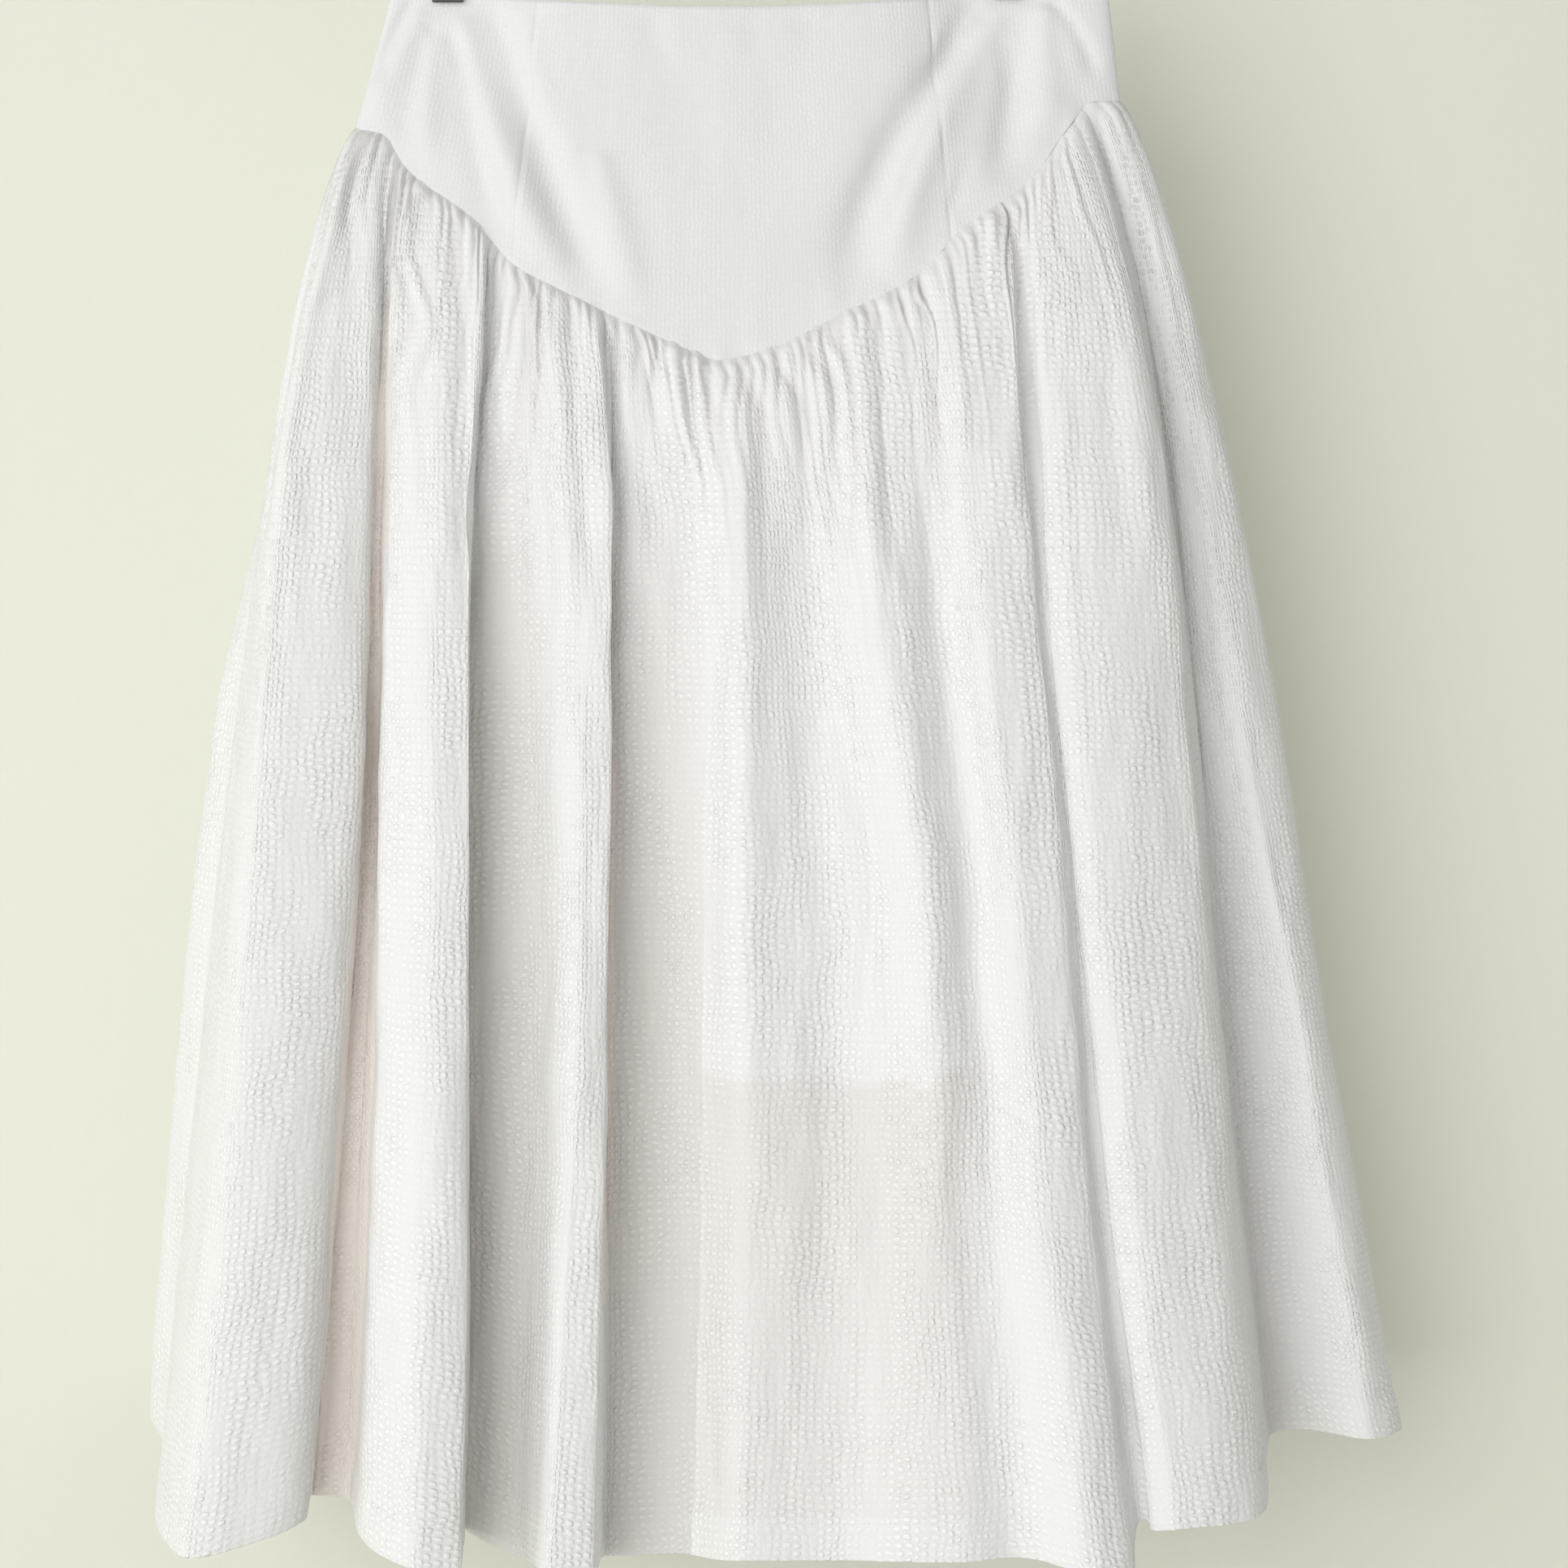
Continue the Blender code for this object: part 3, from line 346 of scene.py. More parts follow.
BACK_PULLS = (
    Drag(-140, -170, -84, -284, -6, 10, 2.4),
    Drag(-125, -170, -62, -286, -3, 9, -2.6),
    Drag(-154, -180, -168, -246, -2, 7, -1.7),
    Drag(-160, -174, -184, -240, -3, 7, 1.6),
    Drag(140, -170, 74, -282, -8, 10, 2.5),
    Drag(126, -170, 56, -286, -5, 9, -2.6),
    Drag(153, -172, 156, -250, 2, 6, -2.0),
    Drag(166, -172, 172, -236, 0, 8, 1.8),
)
print("finer folds:", len(FRONT_PULLS), "in front,", len(BACK_PULLS), "behind")

# %% [markdown]
# ## The yoke's form
#
# The yoke's face is worked out from its height and its place across: an oval tube that fills out
# below the waist, pressed flat round each clip, with the folds laid over it. Its columns of points
# stand close beside each seam, so that the seam's dip stays crisp.

# %% Yoke form
def waist_height(x):
    share = np.abs(x) / CLIP_X
    inside = WAIST_AT_CLIP - WAIST_SAG * (1 - share ** 2)
    outside = WAIST_AT_CLIP - WAIST_DROOP * ((np.abs(x) - CLIP_X) / WAIST_OUTSIDE) ** 2
    return np.where(share < 1, inside, outside)


# A fold that fans out from a clip starts and ends softly and grows wider on its way down
FAN_START, FAN_END = 0.08, 0.3
FAN_WIDTH, FAN_GROWTH = 0.55, 0.65
FILL_POWER = 0.8          # the yoke fills out fastest just under the waist
HELD_BELOW = 0.6          # a clip holds the cloth flat farther down than to its sides


def seam_height(table, x):
    across = np.array([row.x for row in table]) * MM
    height = np.array([[row.z] for row in table]) * MM
    return curve_through(across, height, np.atleast_1d(x))[:, 0]


def creased(folds, x, z, fan=False):
    """How far the cloth stands out at a point because of a table of soft folds."""
    relief = np.zeros_like(x)
    for fold in folds:
        top = np.array((fold.top_x, fold.top_z)) * MM
        run = np.array((fold.foot_x, fold.foot_z)) * MM - top
        length = math.hypot(*run)
        way = run / length
        along = ((x - top[0]) * way[0] + (z - top[1]) * way[1]) / length
        aside = (z - top[1]) * way[0] - (x - top[0]) * way[1]
        aside = aside - fold.bow * MM * 4 * along * (1 - along)
        fade = np.clip(1 - np.abs(2 * along - 1) ** 3, 0, 1)
        wide = fold.half_width * MM
        if fan:
            fade = ease(along / FAN_START) * ease((1 - along) / FAN_END)
            wide = wide * (FAN_WIDTH + FAN_GROWTH * np.clip(along, 0, 1))
        relief = relief + fold.rise * MM * fade * np.exp(-(aside / wide) ** 2)
    return relief


def yoke_sides(z):
    drop = WAIST_AT_CLIP - z
    left = blend(SIDE_LEFT.waist, SIDE_LEFT.seam, np.clip(drop / LEFT_RUN, 0, 1)) * MM
    right = blend(SIDE_RIGHT.waist, SIDE_RIGHT.seam, np.clip(drop / RIGHT_RUN, 0, 1)) * MM
    return left, right


def yoke_depth(x, z, side, folds=True, hold=1.0):
    """Depth of the yoke's outer face in front (side -1) or behind (side +1)."""
    down = np.clip((WAIST_AT_CLIP - z) / YOKE_DEPTH, 0, 1)
    left, right = yoke_sides(z)
    share = np.clip(np.abs((x - (left + right) / 2) / ((right - left) / 2)), 0, 1)
    turn = np.sqrt(1 - share ** SIDE_ROUNDNESS)
    deepest = YOKE_FRONT_HALF_DEPTH if side < 0 else YOKE_BACK_HALF_DEPTH
    depth = blend(WAIST_HALF_DEPTH, deepest, down ** FILL_POWER) * turn
    beside = np.clip(np.abs(np.abs(x) - CLIP_X) - CLIP_GRIP * hold, 0, None)
    below = np.clip(WAIST_AT_CLIP - z - CLIP_GRIP * hold, 0, None) * HELD_BELOW
    held = np.exp(-(beside ** 2 + below ** 2) / (PINCH_REACH * hold) ** 2)
    depth = blend(depth, CLIP_HALF_DEPTH * np.clip(5 * turn, 0, 1), held)
    if folds:
        table = FRONT_DRAGS if side < 0 else BACK_DRAGS
        off_side = np.clip(2 * turn - 0.6, 0, 1)
        depth = depth + creased(table, x, z) * off_side * (1 - held)
    return side * depth


SIDE_COLUMNS, CENTRE_COLUMNS, BACK_COLUMNS, YOKE_ROWS = 34, 84, 64, 72
SEAM_STEPS = (-2.6 * MM, -1.3 * MM, 1.3 * MM, 2.6 * MM)


def yoke_columns(stations, counts):
    """Each column's place at the waist and at the lower edge, with close ones at the seams."""
    pairs = []
    for height in ("waist", "seam"):
        ends = [getattr(station, height) for station in stations]
        middle = (ends[0] + ends[-1]) / 2
        half = ends[-1] - middle
        angles = [math.acos(max(-1.0, min(1.0, (middle - end) / half))) for end in ends]
        turned = [np.linspace(a, b, n + 1)[:-1] for a, b, n in zip(angles, angles[1:], counts)]
        turned = np.append(np.concatenate(turned), angles[-1])
        pairs.append((middle - half * np.cos(turned)) * MM)
    table = [tuple(pair) for pair in zip(*pairs)]
    for station in stations[1:-1]:
        for step in SEAM_STEPS:
            table.append((station.waist * MM + step, station.seam * MM + step))
    table.sort()
    return np.array(table)


def yoke_face(side, columns, seam_table):
    top = waist_height(columns[:, 0])
    foot = seam_height(seam_table, columns[:, 1])
    rows = []
    for share in np.linspace(0, 1, YOKE_ROWS + 1):
        x = blend(columns[:, 0], columns[:, 1], share)
        z = blend(top, foot, share)
        left, right = yoke_sides(z[[0, -1]])
        x[0], x[-1] = left[0], right[-1]
        rows.append(np.stack((x, yoke_depth(x, z, side), z), axis=1))
    return np.array(rows)


front_stations = (SIDE_LEFT, PRINCESS_LEFT, PRINCESS_RIGHT, SIDE_RIGHT)
back_stations = (SIDE_LEFT, CENTRE_BACK, SIDE_RIGHT)
front_columns = yoke_columns(front_stations, (SIDE_COLUMNS, CENTRE_COLUMNS, SIDE_COLUMNS))
back_columns = yoke_columns(back_stations, (BACK_COLUMNS, BACK_COLUMNS))
yoke_front = yoke_face(-1, front_columns, FRONT_SEAM)
yoke_back = yoke_face(1, back_columns, BACK_SEAM)
yoke_ring = np.concatenate((yoke_front, yoke_back[:, -2:0:-1]), axis=1)
yoke_out = ring_directions(yoke_ring)
yoke_out[-1] = level(yoke_out[-1])
front_last = yoke_front.shape[1] - 1
print("yoke ring: %d rows, %d columns" % yoke_ring.shape[:2])

# %% [markdown]
# ## Sewing the yoke
#
# A seam pulls its cloth in by less than a millimetre and puckers it a little. We find the column
# of each seam and work out how strongly its stitching pulls at each point near it. The distance
# is measured round the cloth and not straight across, so it holds on the curved sides too.

# %% Seams of the yoke
SEAM_DIP = 0.8 * MM
SEAM_HALF_WIDTH = 1.5 * MM
PUCKER_PITCH = 6 * MM
MEASURED_ROW = 30         # the row whose length round gives the weave its places
WEAVE_START = 0.1


def distance_round(ring, column):
    """Each point's distance from a column of its ring, measured round the cloth."""
    step = np.linalg.norm(np.roll(ring, -1, axis=1) - ring, axis=2)
    place = np.concatenate((np.zeros((len(ring), 1)), np.cumsum(step, axis=1)), axis=1)
    total = place[:, -1:]
    gap = np.abs(place[:, :-1] - place[:, column:column + 1])
    return np.minimum(gap, total - gap)


def column_at(columns, station):
    return int(np.argmin(np.abs(columns[:, 0] - station.waist * MM)))


princess_left = column_at(front_columns, PRINCESS_LEFT)
princess_right = column_at(front_columns, PRINCESS_RIGHT)
centre_back_column = front_last + (yoke_back.shape[1] - 1 - column_at(back_columns, CENTRE_BACK))
yoke_seams = (0, princess_left, princess_right, front_last, centre_back_column)

round_yoke = places_round(yoke_ring[MEASURED_ROW]) + WEAVE_START
yoke_u = np.broadcast_to(round_yoke[:-1], yoke_ring.shape[:2])
yoke_v = -yoke_ring[..., 2]
sewn = np.zeros(yoke_ring.shape[:2])
for column in yoke_seams:
    near = distance_round(yoke_ring, column)
    pucker = 0.75 + 0.35 * unevenness(column, yoke_v / PUCKER_PITCH, yoke_u * 0)
    sewn = np.maximum(sewn, np.exp(-(near / SEAM_HALF_WIDTH) ** 2) * pucker)
print("seams at columns", yoke_seams, "of", yoke_ring.shape[1])

# %% [markdown]
# ## Folds at the clips
#
# The jaws hold the cloth flat, so the fan of folds starts outside them. The folds also fade at
# the sides, where the tube turns away, and none may sink so far that front and back would meet.
# A faint ripple and the pull of the gathers at the lower edge are laid over them.

# %% Cloth of the yoke
LEAST_HALF_DEPTH = 2.2 * MM
JAW_HALF_WIDTH = 8.5 * MM
JAW_DROP = 6 * MM
JAW_REACH = 9 * MM
YOKE_SWELLS = (Swell(11, 0.22, 9, 24), Swell(12, 0.35, 26, 40))
# Swells that the gathers draw into the lower edge, each with its reach up the yoke
EDGE_SWELLS = ((Swell(61, 0.5, 3.7, math.inf), 4 * MM), (Swell(62, 0.5, 8, 30), 16 * MM))
off_clip = np.clip(np.abs(np.abs(yoke_ring[..., 0]) - CLIP_X) - JAW_HALF_WIDTH, 0, None)
below_clip = np.clip(WAIST_AT_CLIP - JAW_DROP - yoke_ring[..., 2], 0, None)
gripped = np.exp(-(off_clip ** 2 + below_clip ** 2) / JAW_REACH ** 2)
on_front = np.arange(yoke_ring.shape[1]) <= front_last
fan = np.where(on_front[None], creased(FRONT_PULLS, yoke_ring[..., 0], yoke_ring[..., 2], fan=True),
               creased(BACK_PULLS, yoke_ring[..., 0], yoke_ring[..., 2], fan=True))
fan *= (1 - gripped) * np.clip(np.abs(yoke_out[..., 1]) * 1.6 - 0.3, 0, 1)
fan = np.maximum(fan, np.minimum(0, LEAST_HALF_DEPTH - np.abs(yoke_ring[..., 1])))
to_edge = np.linalg.norm(yoke_ring[-1][None] - yoke_ring, axis=2)
drawn = sum(swells([kind], yoke_u, yoke_v) * np.exp(-to_edge / reach) for kind, reach in EDGE_SWELLS)
ripple = swells(YOKE_SWELLS, yoke_u, yoke_v) * (1 - sewn)
yoke_cloth = yoke_ring + yoke_out * (ripple - SEAM_DIP * sewn + fan + drawn)[..., None]
print("folds on the yoke from %.1f to %.1f mm" % (fan.min() / MM, fan.max() / MM))

# %% [markdown]
# ## The yoke's panels
#
# The tube is cut at its seams into five panels, as a maker would cut them. Their edges are
# turned: over the waist to the inside, and under at the pointed lower edge, which lies on top of
# the gathers.

# %% Yoke panels
# Rows that turn over the waist and under the lower edge: how far past the edge, how far out, in mm
OVER_WAIST = ((-14, -1.5), (-0.9, -1.5), (0.1, -1.1), (0.2, -0.4))
UNDER_EDGE = ((0.5, -0.2), (0.5, -0.9), (-7, -1.3))


def turned(edge, way, out, steps):
    return np.array([edge + way * past * MM + out * aside * MM for past, aside in steps])


over = turned(yoke_cloth[0], unit(yoke_cloth[0] - yoke_cloth[1]), yoke_out[0], OVER_WAIST)
under = turned(yoke_cloth[-1], unit(yoke_cloth[-1] - yoke_cloth[-2]), yoke_out[-1], UNDER_EDGE)
yoke_grid = np.concatenate((over, yoke_cloth, under))
row_of = np.clip(np.arange(len(yoke_grid)) - len(OVER_WAIST), 0, len(yoke_cloth) - 1)
yoke_cuts = (
    ("yoke_front_left", 0, princess_left),
    ("yoke_front_centre", princess_left, princess_right),
    ("yoke_front_right", princess_right, front_last),
    ("yoke_back_right", front_last, centre_back_column),
    ("yoke_back_left", centre_back_column, yoke_ring.shape[1]),
)
cut_panels(yoke_cuts, yoke_grid, yoke_u[row_of], yoke_v[row_of], round_yoke[-1])

# %% [markdown]
# ## The gathered skirt's folds
#
# The skirt hangs in deep cone folds. Each row of the table is one line down the cloth: a crest, a
# flank or a valley of a fold, with its place across at five heights and its depth and height at
# the hem. Letters name the folds from left to right as the picture shows them.

# %% Fold table
FoldLine = namedtuple("FoldLine", "name seam quarter half low hem hem_depth hem_height")
FRONT_LINES = (
    FoldLine("left side seam", -197.5, -246, -275, -297, -317, 20, -957),
    FoldLine("fold A, outer flank", -195.5, -241, -265, -284, -305.5, -48, -979),
    FoldLine("fold A, crest", -188.5, -228, -244, -258, -279, -98, -980),
    FoldLine("fold A, inner flank", -179, -188, -193.5, -206, -223.5, -66, -970),
    FoldLine("valley A to B, near side", -173, -188.5, -194.5, -207, -224, -44, -966),
    FoldLine("valley A to B, far side", -170.5, -181.5, -187, -196, -208, -44, -966),
    FoldLine("fold B, left flank", -165, -175.5, -178.5, -185.5, -191.5, -78, -980),
    FoldLine("fold B, crest", -149, -150, -149, -151, -158, -103, -986),
    FoldLine("fold B, right flank", -128, -132.5, -132.5, -132.5, -137, -94, -992),
    FoldLine("valley B to C", -119, -135.5, -138, -138, -142, -44, -984),
    FoldLine("fold C, left slope", -106, -106, -105, -107, -112, -52, -995),
    FoldLine("fold C, crest", -83, -73, -72.5, -81, -90, -100, -987),
    FoldLine("fold C, right flank", -69, -59, -60, -63.5, -68, -92, -993),
    FoldLine("valley C to D", -59, -61.5, -65.5, -64, -66, -44, -1000),
    FoldLine("fold D, left slope", -47, -32, -30, -28, -26, -52, -995),
    FoldLine("fold D, first crest", 3, 12, 13, 12, 9, -89, -986),
    FoldLine("fold D, trough", 24, 44, 58, 58, 56, -84, -988),
    FoldLine("fold D, second crest", 62, 84, 106, 112, 118, -98, -983),
    FoldLine("trough D to E", 92, 112, 130, 140, 152, -90, -984),
    FoldLine("fold E, crest", 113, 135, 153, 170, 191, -107, -987),
    FoldLine("fold E, right flank", 142, 158.5, 175.5, 192, 213.5, -94, -993),
    FoldLine("valley E to F, near side", 149.6, 162.4, 179.2, 195.8, 218, -79, -968),
    FoldLine("valley E to F, far side", 151.6, 163.4, 180.2, 197, 219.5, -79, -968),
    FoldLine("fold F, left flank", 158, 165.2, 181.8, 198.6, 221.5, -82, -972),
    FoldLine("fold F, crest", 168, 179, 193, 211, 236, -90, -969.5),
    FoldLine("fold F, right flank", 181, 229, 248, 266, 288, -56, -968),
    FoldLine("valley F to G", 189.5, 235, 258, 279, 301, 10, -948),
    FoldLine("fold G, left slope", 195, 241, 270, 296, 320, 2, -944),
    FoldLine("fold G, crest", 200.5, 252, 284, 318, 351, -10, -945),
    FoldLine("fold G, outer flank", 206, 268, 304, 339, 376, 22, -948),
)
BACK_LINES = (
    FoldLine("right side seam", 208.3, 263, 298, 332, 368, 50, -947),
    FoldLine("fold T, outer flank", 206, 252, 286, 318, 350, 80, -948),
    FoldLine("fold T, crest", 198, 232, 262, 290, 318, 102, -956),
    FoldLine("fold T, inner flank", 187, 208, 232, 254, 276, 72, -960),
    FoldLine("valley T to U", 177, 194, 208, 222, 234, 40, -962),
    FoldLine("fold U, right flank", 165, 176, 186, 196, 206, 76, -968),
    FoldLine("fold U, crest", 140, 150, 158, 166, 174, 108, -974),
    FoldLine("fold U, left flank", 117, 124, 128, 134, 140, 74, -974),
    FoldLine("valley U to V", 107, 110, 110, 112, 112, 42, -974),
    FoldLine("fold V, right flank", 94, 96, 94, 94, 92, 78, -980),
    FoldLine("fold V, crest", 66, 68, 66, 64, 62, 110, -984),
    FoldLine("fold V, left flank", 30, 34, 36, 34, 32, 84, -985),
    FoldLine("centre back seam", 5.4, 5, 5, 4, 4, 66, -984),
    FoldLine("fold W, right flank", -22, -28, -32, -34, -36, 82, -985),
    FoldLine("fold W, crest", -52, -58, -64, -68, -72, 108, -984),
    FoldLine("fold W, left flank", -82, -92, -96, -100, -104, 76, -979),
    FoldLine("valley W to X", -94, -106, -112, -118, -124, 44, -974),
    FoldLine("fold X, right flank", -106, -122, -130, -138, -146, 76, -971),
    FoldLine("fold X, crest", -130, -150, -162, -174, -186, 104, -968),
    FoldLine("fold X, left flank", -157, -178, -194, -210, -226, 74, -961),
    FoldLine("valley X to Z", -170, -194, -214, -232, -248, 46, -955),
    FoldLine("fold Z, inner flank", -180, -210, -236, -256, -276, 62, -952),
    FoldLine("fold Z, crest", -189, -236, -268, -291, -309, 74, -951),
    FoldLine("fold Z, outer flank", -196, -250, -288, -312, -330, 52, -950),
)
print("fold lines:", len(FRONT_LINES), "in front,", len(BACK_LINES), "behind")

# %% [markdown]
# ## The skirt's form
#
# Each line of the table becomes a smooth path from the yoke's edge to the hem. The folds spread
# and deepen fastest just under the seam. The rows of points stand closer at the top, where the
# gathers are, and at the hem, where the cloth turns.

# %% Rows down the skirt
DOWN = (0.0, 0.25, 0.5, 0.75, 1.0)      # where a line's five places lie
SPREAD_POWER = 0.7
DEPTH_POWER = 0.6
SEAM_EASE = 0.05
HEM_TURN = 23 * MM
SKIRT_LENGTH = 735 * MM
HEM_ROWS = (23.0, 21.5, 17.0, 11.0, 5.0, 1.5, 0.0)    # each row's height over the hem, in mm
TOP_SHARE, TOP_ROWS, BODY_ROWS = 0.16, 56, 76         # the gathers need closer rows
hem_shares = 1 - np.array(HEM_ROWS) * MM / SKIRT_LENGTH
body_shares = np.linspace(TOP_SHARE, hem_shares[0], BODY_ROWS)
SHARES = np.concatenate((np.linspace(0, TOP_SHARE, TOP_ROWS), body_shares[1:], hem_shares[1:]))
print("rows down the skirt:", len(SHARES))

# %% Paths of the folds
def yoke_edge(points, out):
    edge = np.concatenate((points, out), axis=1)
    return edge[np.argsort(edge[:, 0])]


front_edge = yoke_edge(yoke_ring[-1, :front_last + 1], yoke_out[-1, :front_last + 1])
back_columns_of_ring = np.append(np.arange(front_last, yoke_ring.shape[1]), 0)
back_edge = yoke_edge(yoke_ring[-1, back_columns_of_ring], yoke_out[-1, back_columns_of_ring])


def edge_at(edge, x):
    values = np.stack([np.interp(x, edge[:, 0], edge[:, i]) for i in range(1, 6)], axis=-1)
    return values[..., 0], values[..., 1], values[..., 2:]


def line_path(line, edge):
    """A fold line's points at every share of the way down."""
    places = np.array((line.seam, line.quarter, line.half, line.low, line.hem)) * MM
    start_y, start_z, _ = edge_at(edge, places[0])
    x = curve_through(np.array(DOWN) ** SPREAD_POWER, places[:, None], SHARES ** SPREAD_POWER)[:, 0]
    y = blend(start_y, line.hem_depth * MM, SHARES ** DEPTH_POWER)
    z = blend(start_z, line.hem_height * MM, SHARES)
    return np.stack((x, y, z), axis=1)


lines = [(line, front_edge) for line in FRONT_LINES] + [(line, back_edge) for line in BACK_LINES]
paths = np.stack([line_path(line, edge) for line, edge in lines], axis=1)
along = places_round(paths[-1])
seam_along = places_round(paths[0])
right_seam = along[len(FRONT_LINES)]
centre_back = along[[line.name for line, _ in lines].index("centre back seam")]
print("paths: %d, hem %.0f mm round" % (paths.shape[1], along[-1] / MM))

# %% [markdown]
# ## Rings round the skirt
#
# A smooth ring through all the paths, one to each row, gives the cloth. It has over a thousand
# columns, because the gathers are far finer than the folds, and they stand closer where the
# gathers or the hem ask for it. The top of the tube is then fitted to the yoke's edge.

# %% Skirt rings
FRONT_COUNT, BACK_COUNT = 690, 250
SEAM_WEIGHT = 0.55      # how far the columns' spacing follows the seam and not the hem


def spread(start, end, count):
    """Columns from one place at the hem to another, close where the seam or the hem asks for it."""
    weight = SEAM_WEIGHT * seam_along / seam_along[-1] + (1 - SEAM_WEIGHT) * along / along[-1]
    ends = np.interp((start, end), along, weight)
    return np.interp(np.linspace(*ends, count, endpoint=False), weight, along)


places = np.concatenate((spread(0, right_seam, FRONT_COUNT), spread(right_seam, centre_back, BACK_COUNT),
                         spread(centre_back, along[-1], BACK_COUNT)))
wrapped = np.concatenate((along[-3:-1] - along[-1], along, along[1:3] + along[-1]))
skirt_ring = np.array([
    curve_through(wrapped, np.concatenate((row[-2:], row, row[:3])), places) for row in paths])

in_front = np.arange(len(places)) <= FRONT_COUNT
front_seat, back_seat = edge_at(front_edge, skirt_ring[0, :, 0]), edge_at(back_edge, skirt_ring[0, :, 0])
seat_y = np.where(in_front, front_seat[0], back_seat[0])
seat_z = np.where(in_front, front_seat[1], back_seat[1])
seat_out = level(np.where(in_front[:, None], front_seat[2], back_seat[2]))
fit = np.stack((seat_y * 0, seat_y - skirt_ring[0, :, 1], seat_z - skirt_ring[0, :, 2]), axis=1)
near_seam = np.exp(-SHARES / SEAM_EASE)[:, None, None]
skirt_ring += near_seam * fit
skirt_out = unit(blend(ring_directions(skirt_ring), seat_out, near_seam))
fallen = np.concatenate((np.zeros((1, len(places))),
                         np.cumsum(np.linalg.norm(np.diff(skirt_ring, axis=0), axis=2), axis=0)))
print("skirt ring: %d rows, %d columns" % skirt_ring.shape[:2])

# %% [markdown]
# ## Gathers and creases
#
# Two threads draw the skirt's top edge up to less than half its width, so the cloth stands in
# small ridges with sharp grooves between them. Each ridge gets its own width, height and length
# from a seeded dice, as no two are alike, and they melt into the cone folds below. The gathers
# keep their pitch along the seam. The flutes farther down keep theirs along the hem. Creases that
# the picture shows in one place have a table.

# %% Crease table
CREASES = (
    Drag(9, -390, 8, -780, 1, 13, 5.0),
    Drag(34, -395, 62, -820, 3, 15, -4.0),
    Drag(82, -400, 116, -800, 0, 14, 4.5),
    Drag(104, -400, 144, -790, 0, 11, -4.0),
    Drag(151.5, -285, 163, -450, 0, 4, -8.0),
    Drag(-86, -405, -80, -475, 0, 7, 1.8),
    Drag(-64, -395, -61, -455, 0, 6, 1.6),
    Drag(-75, -400, -71, -470, 0, 5, -1.6),
    Drag(143, -400, 157, -482, 2, 7, 2.2),
    Drag(127, -405, 133, -475, 0, 8, -1.8),
    Drag(8, -375, 4, -560, 0, 9, 1.4),
    Drag(28, -400, 42, -640, 3, 12, -1.5),
    Drag(72, -380, 88, -600, -3, 9, 1.5),
    Drag(-40, -360, -30, -520, 0, 8, 1.2),
    Drag(-24, -380, -20, -540, 0, 8, -1.2),
    Drag(50, -380, 62, -520, 0, 8, -1.0),
    Drag(104, -360, 112, -520, 0, 8, -1.3),
    Drag(-112, -330, -104, -470, 0, 8, 1.4),
    Drag(-146, -310, -146, -470, 0, 7, 1.3),
    Drag(-136, -330, -134, -520, 0, 6, -1.2),
    Drag(206, -300, 222, -470, 0, 10, 1.6),
    Drag(196, -300, 206, -460, 0, 8, -1.4),
)
print("creases with a place of their own:", len(CREASES))

# %% Gathers
# A set of ridges: its seed, their pitch in mm and how unevenly it is kept, their least and
# greatest height and length in mm, how sharp they are, how few of them are long and how many
# pitches they wander
Ridges = namedtuple("Ridges", "seed pitch jitter low high short long sharpness few_long wander")
SMALL_GATHERS = Ridges(21, 7.3, 0.34, 2.2, 5.6, 14, 105, 0.4, 2.0, 0.7)
WIDE_GATHERS = Ridges(25, 17, 0.36, 0.8, 4.6, 30, 150, 0.5, 1.5, 0.5)
FLUTES = Ridges(22, 37, 0.32, 1.4, 4.2, 110, 300, 1.0, 1.0, 0.16)
WIDE_FLUTES = Ridges(24, 78, 0.34, 1.2, 3.6, 200, 520, 1.4, 1.0, 0.16)
WANDER_START, WANDER_RUN = 12 * MM, 38 * MM
FADE_POWER = 1.8
# the grooves' width sets only how wide their painted shade is
GROOVE_SHARE = 0.15       # half width of a groove, as a share of the pitch


def ridges(kind, where, total):
    """Ridges side by side round the cloth, each fading down its own length, and where shade is painted in
    their grooves.
    """
    dice = np.random.default_rng(kind.seed)
    pitch = kind.pitch * MM
    count = round(total / pitch)
    uneven = np.append(dice.uniform(-kind.jitter, kind.jitter, count), 0)
    edges = (np.arange(count + 1) + uneven) * total / count
    edges[0], edges[-1] = 0.0, total
    rise = dice.uniform(kind.low * MM, kind.high * MM, count)
    length = blend(kind.short * MM, kind.long * MM, dice.uniform(0, 1, count) ** kind.few_long)
    drift = kind.wander * pitch * unevenness(kind.seed + 1, where[None] / (2.4 * pitch) + fallen * 0,
                                             fallen / WANDER_RUN)
    spot = np.clip(where[None] + drift * ease(fallen / WANDER_START), 0, total - 1e-6)
    k = np.clip(np.searchsorted(edges, spot, side="right") - 1, 0, count - 1)
    width = edges[k + 1] - edges[k]
    t = (spot - edges[k]) / width
    from_edge = np.minimum(t, 1 - t)
    shape = np.abs(np.sin(np.pi * t)) ** kind.sharpness - 0.5
    fade = np.exp(-(fallen / length[k]) ** FADE_POWER)
    fade = blend(0.5 * fade, fade, ease(from_edge * 3))
    return rise[k] * shape * fade, np.exp(-(from_edge * width / (GROOVE_SHARE * pitch)) ** 2) * fade


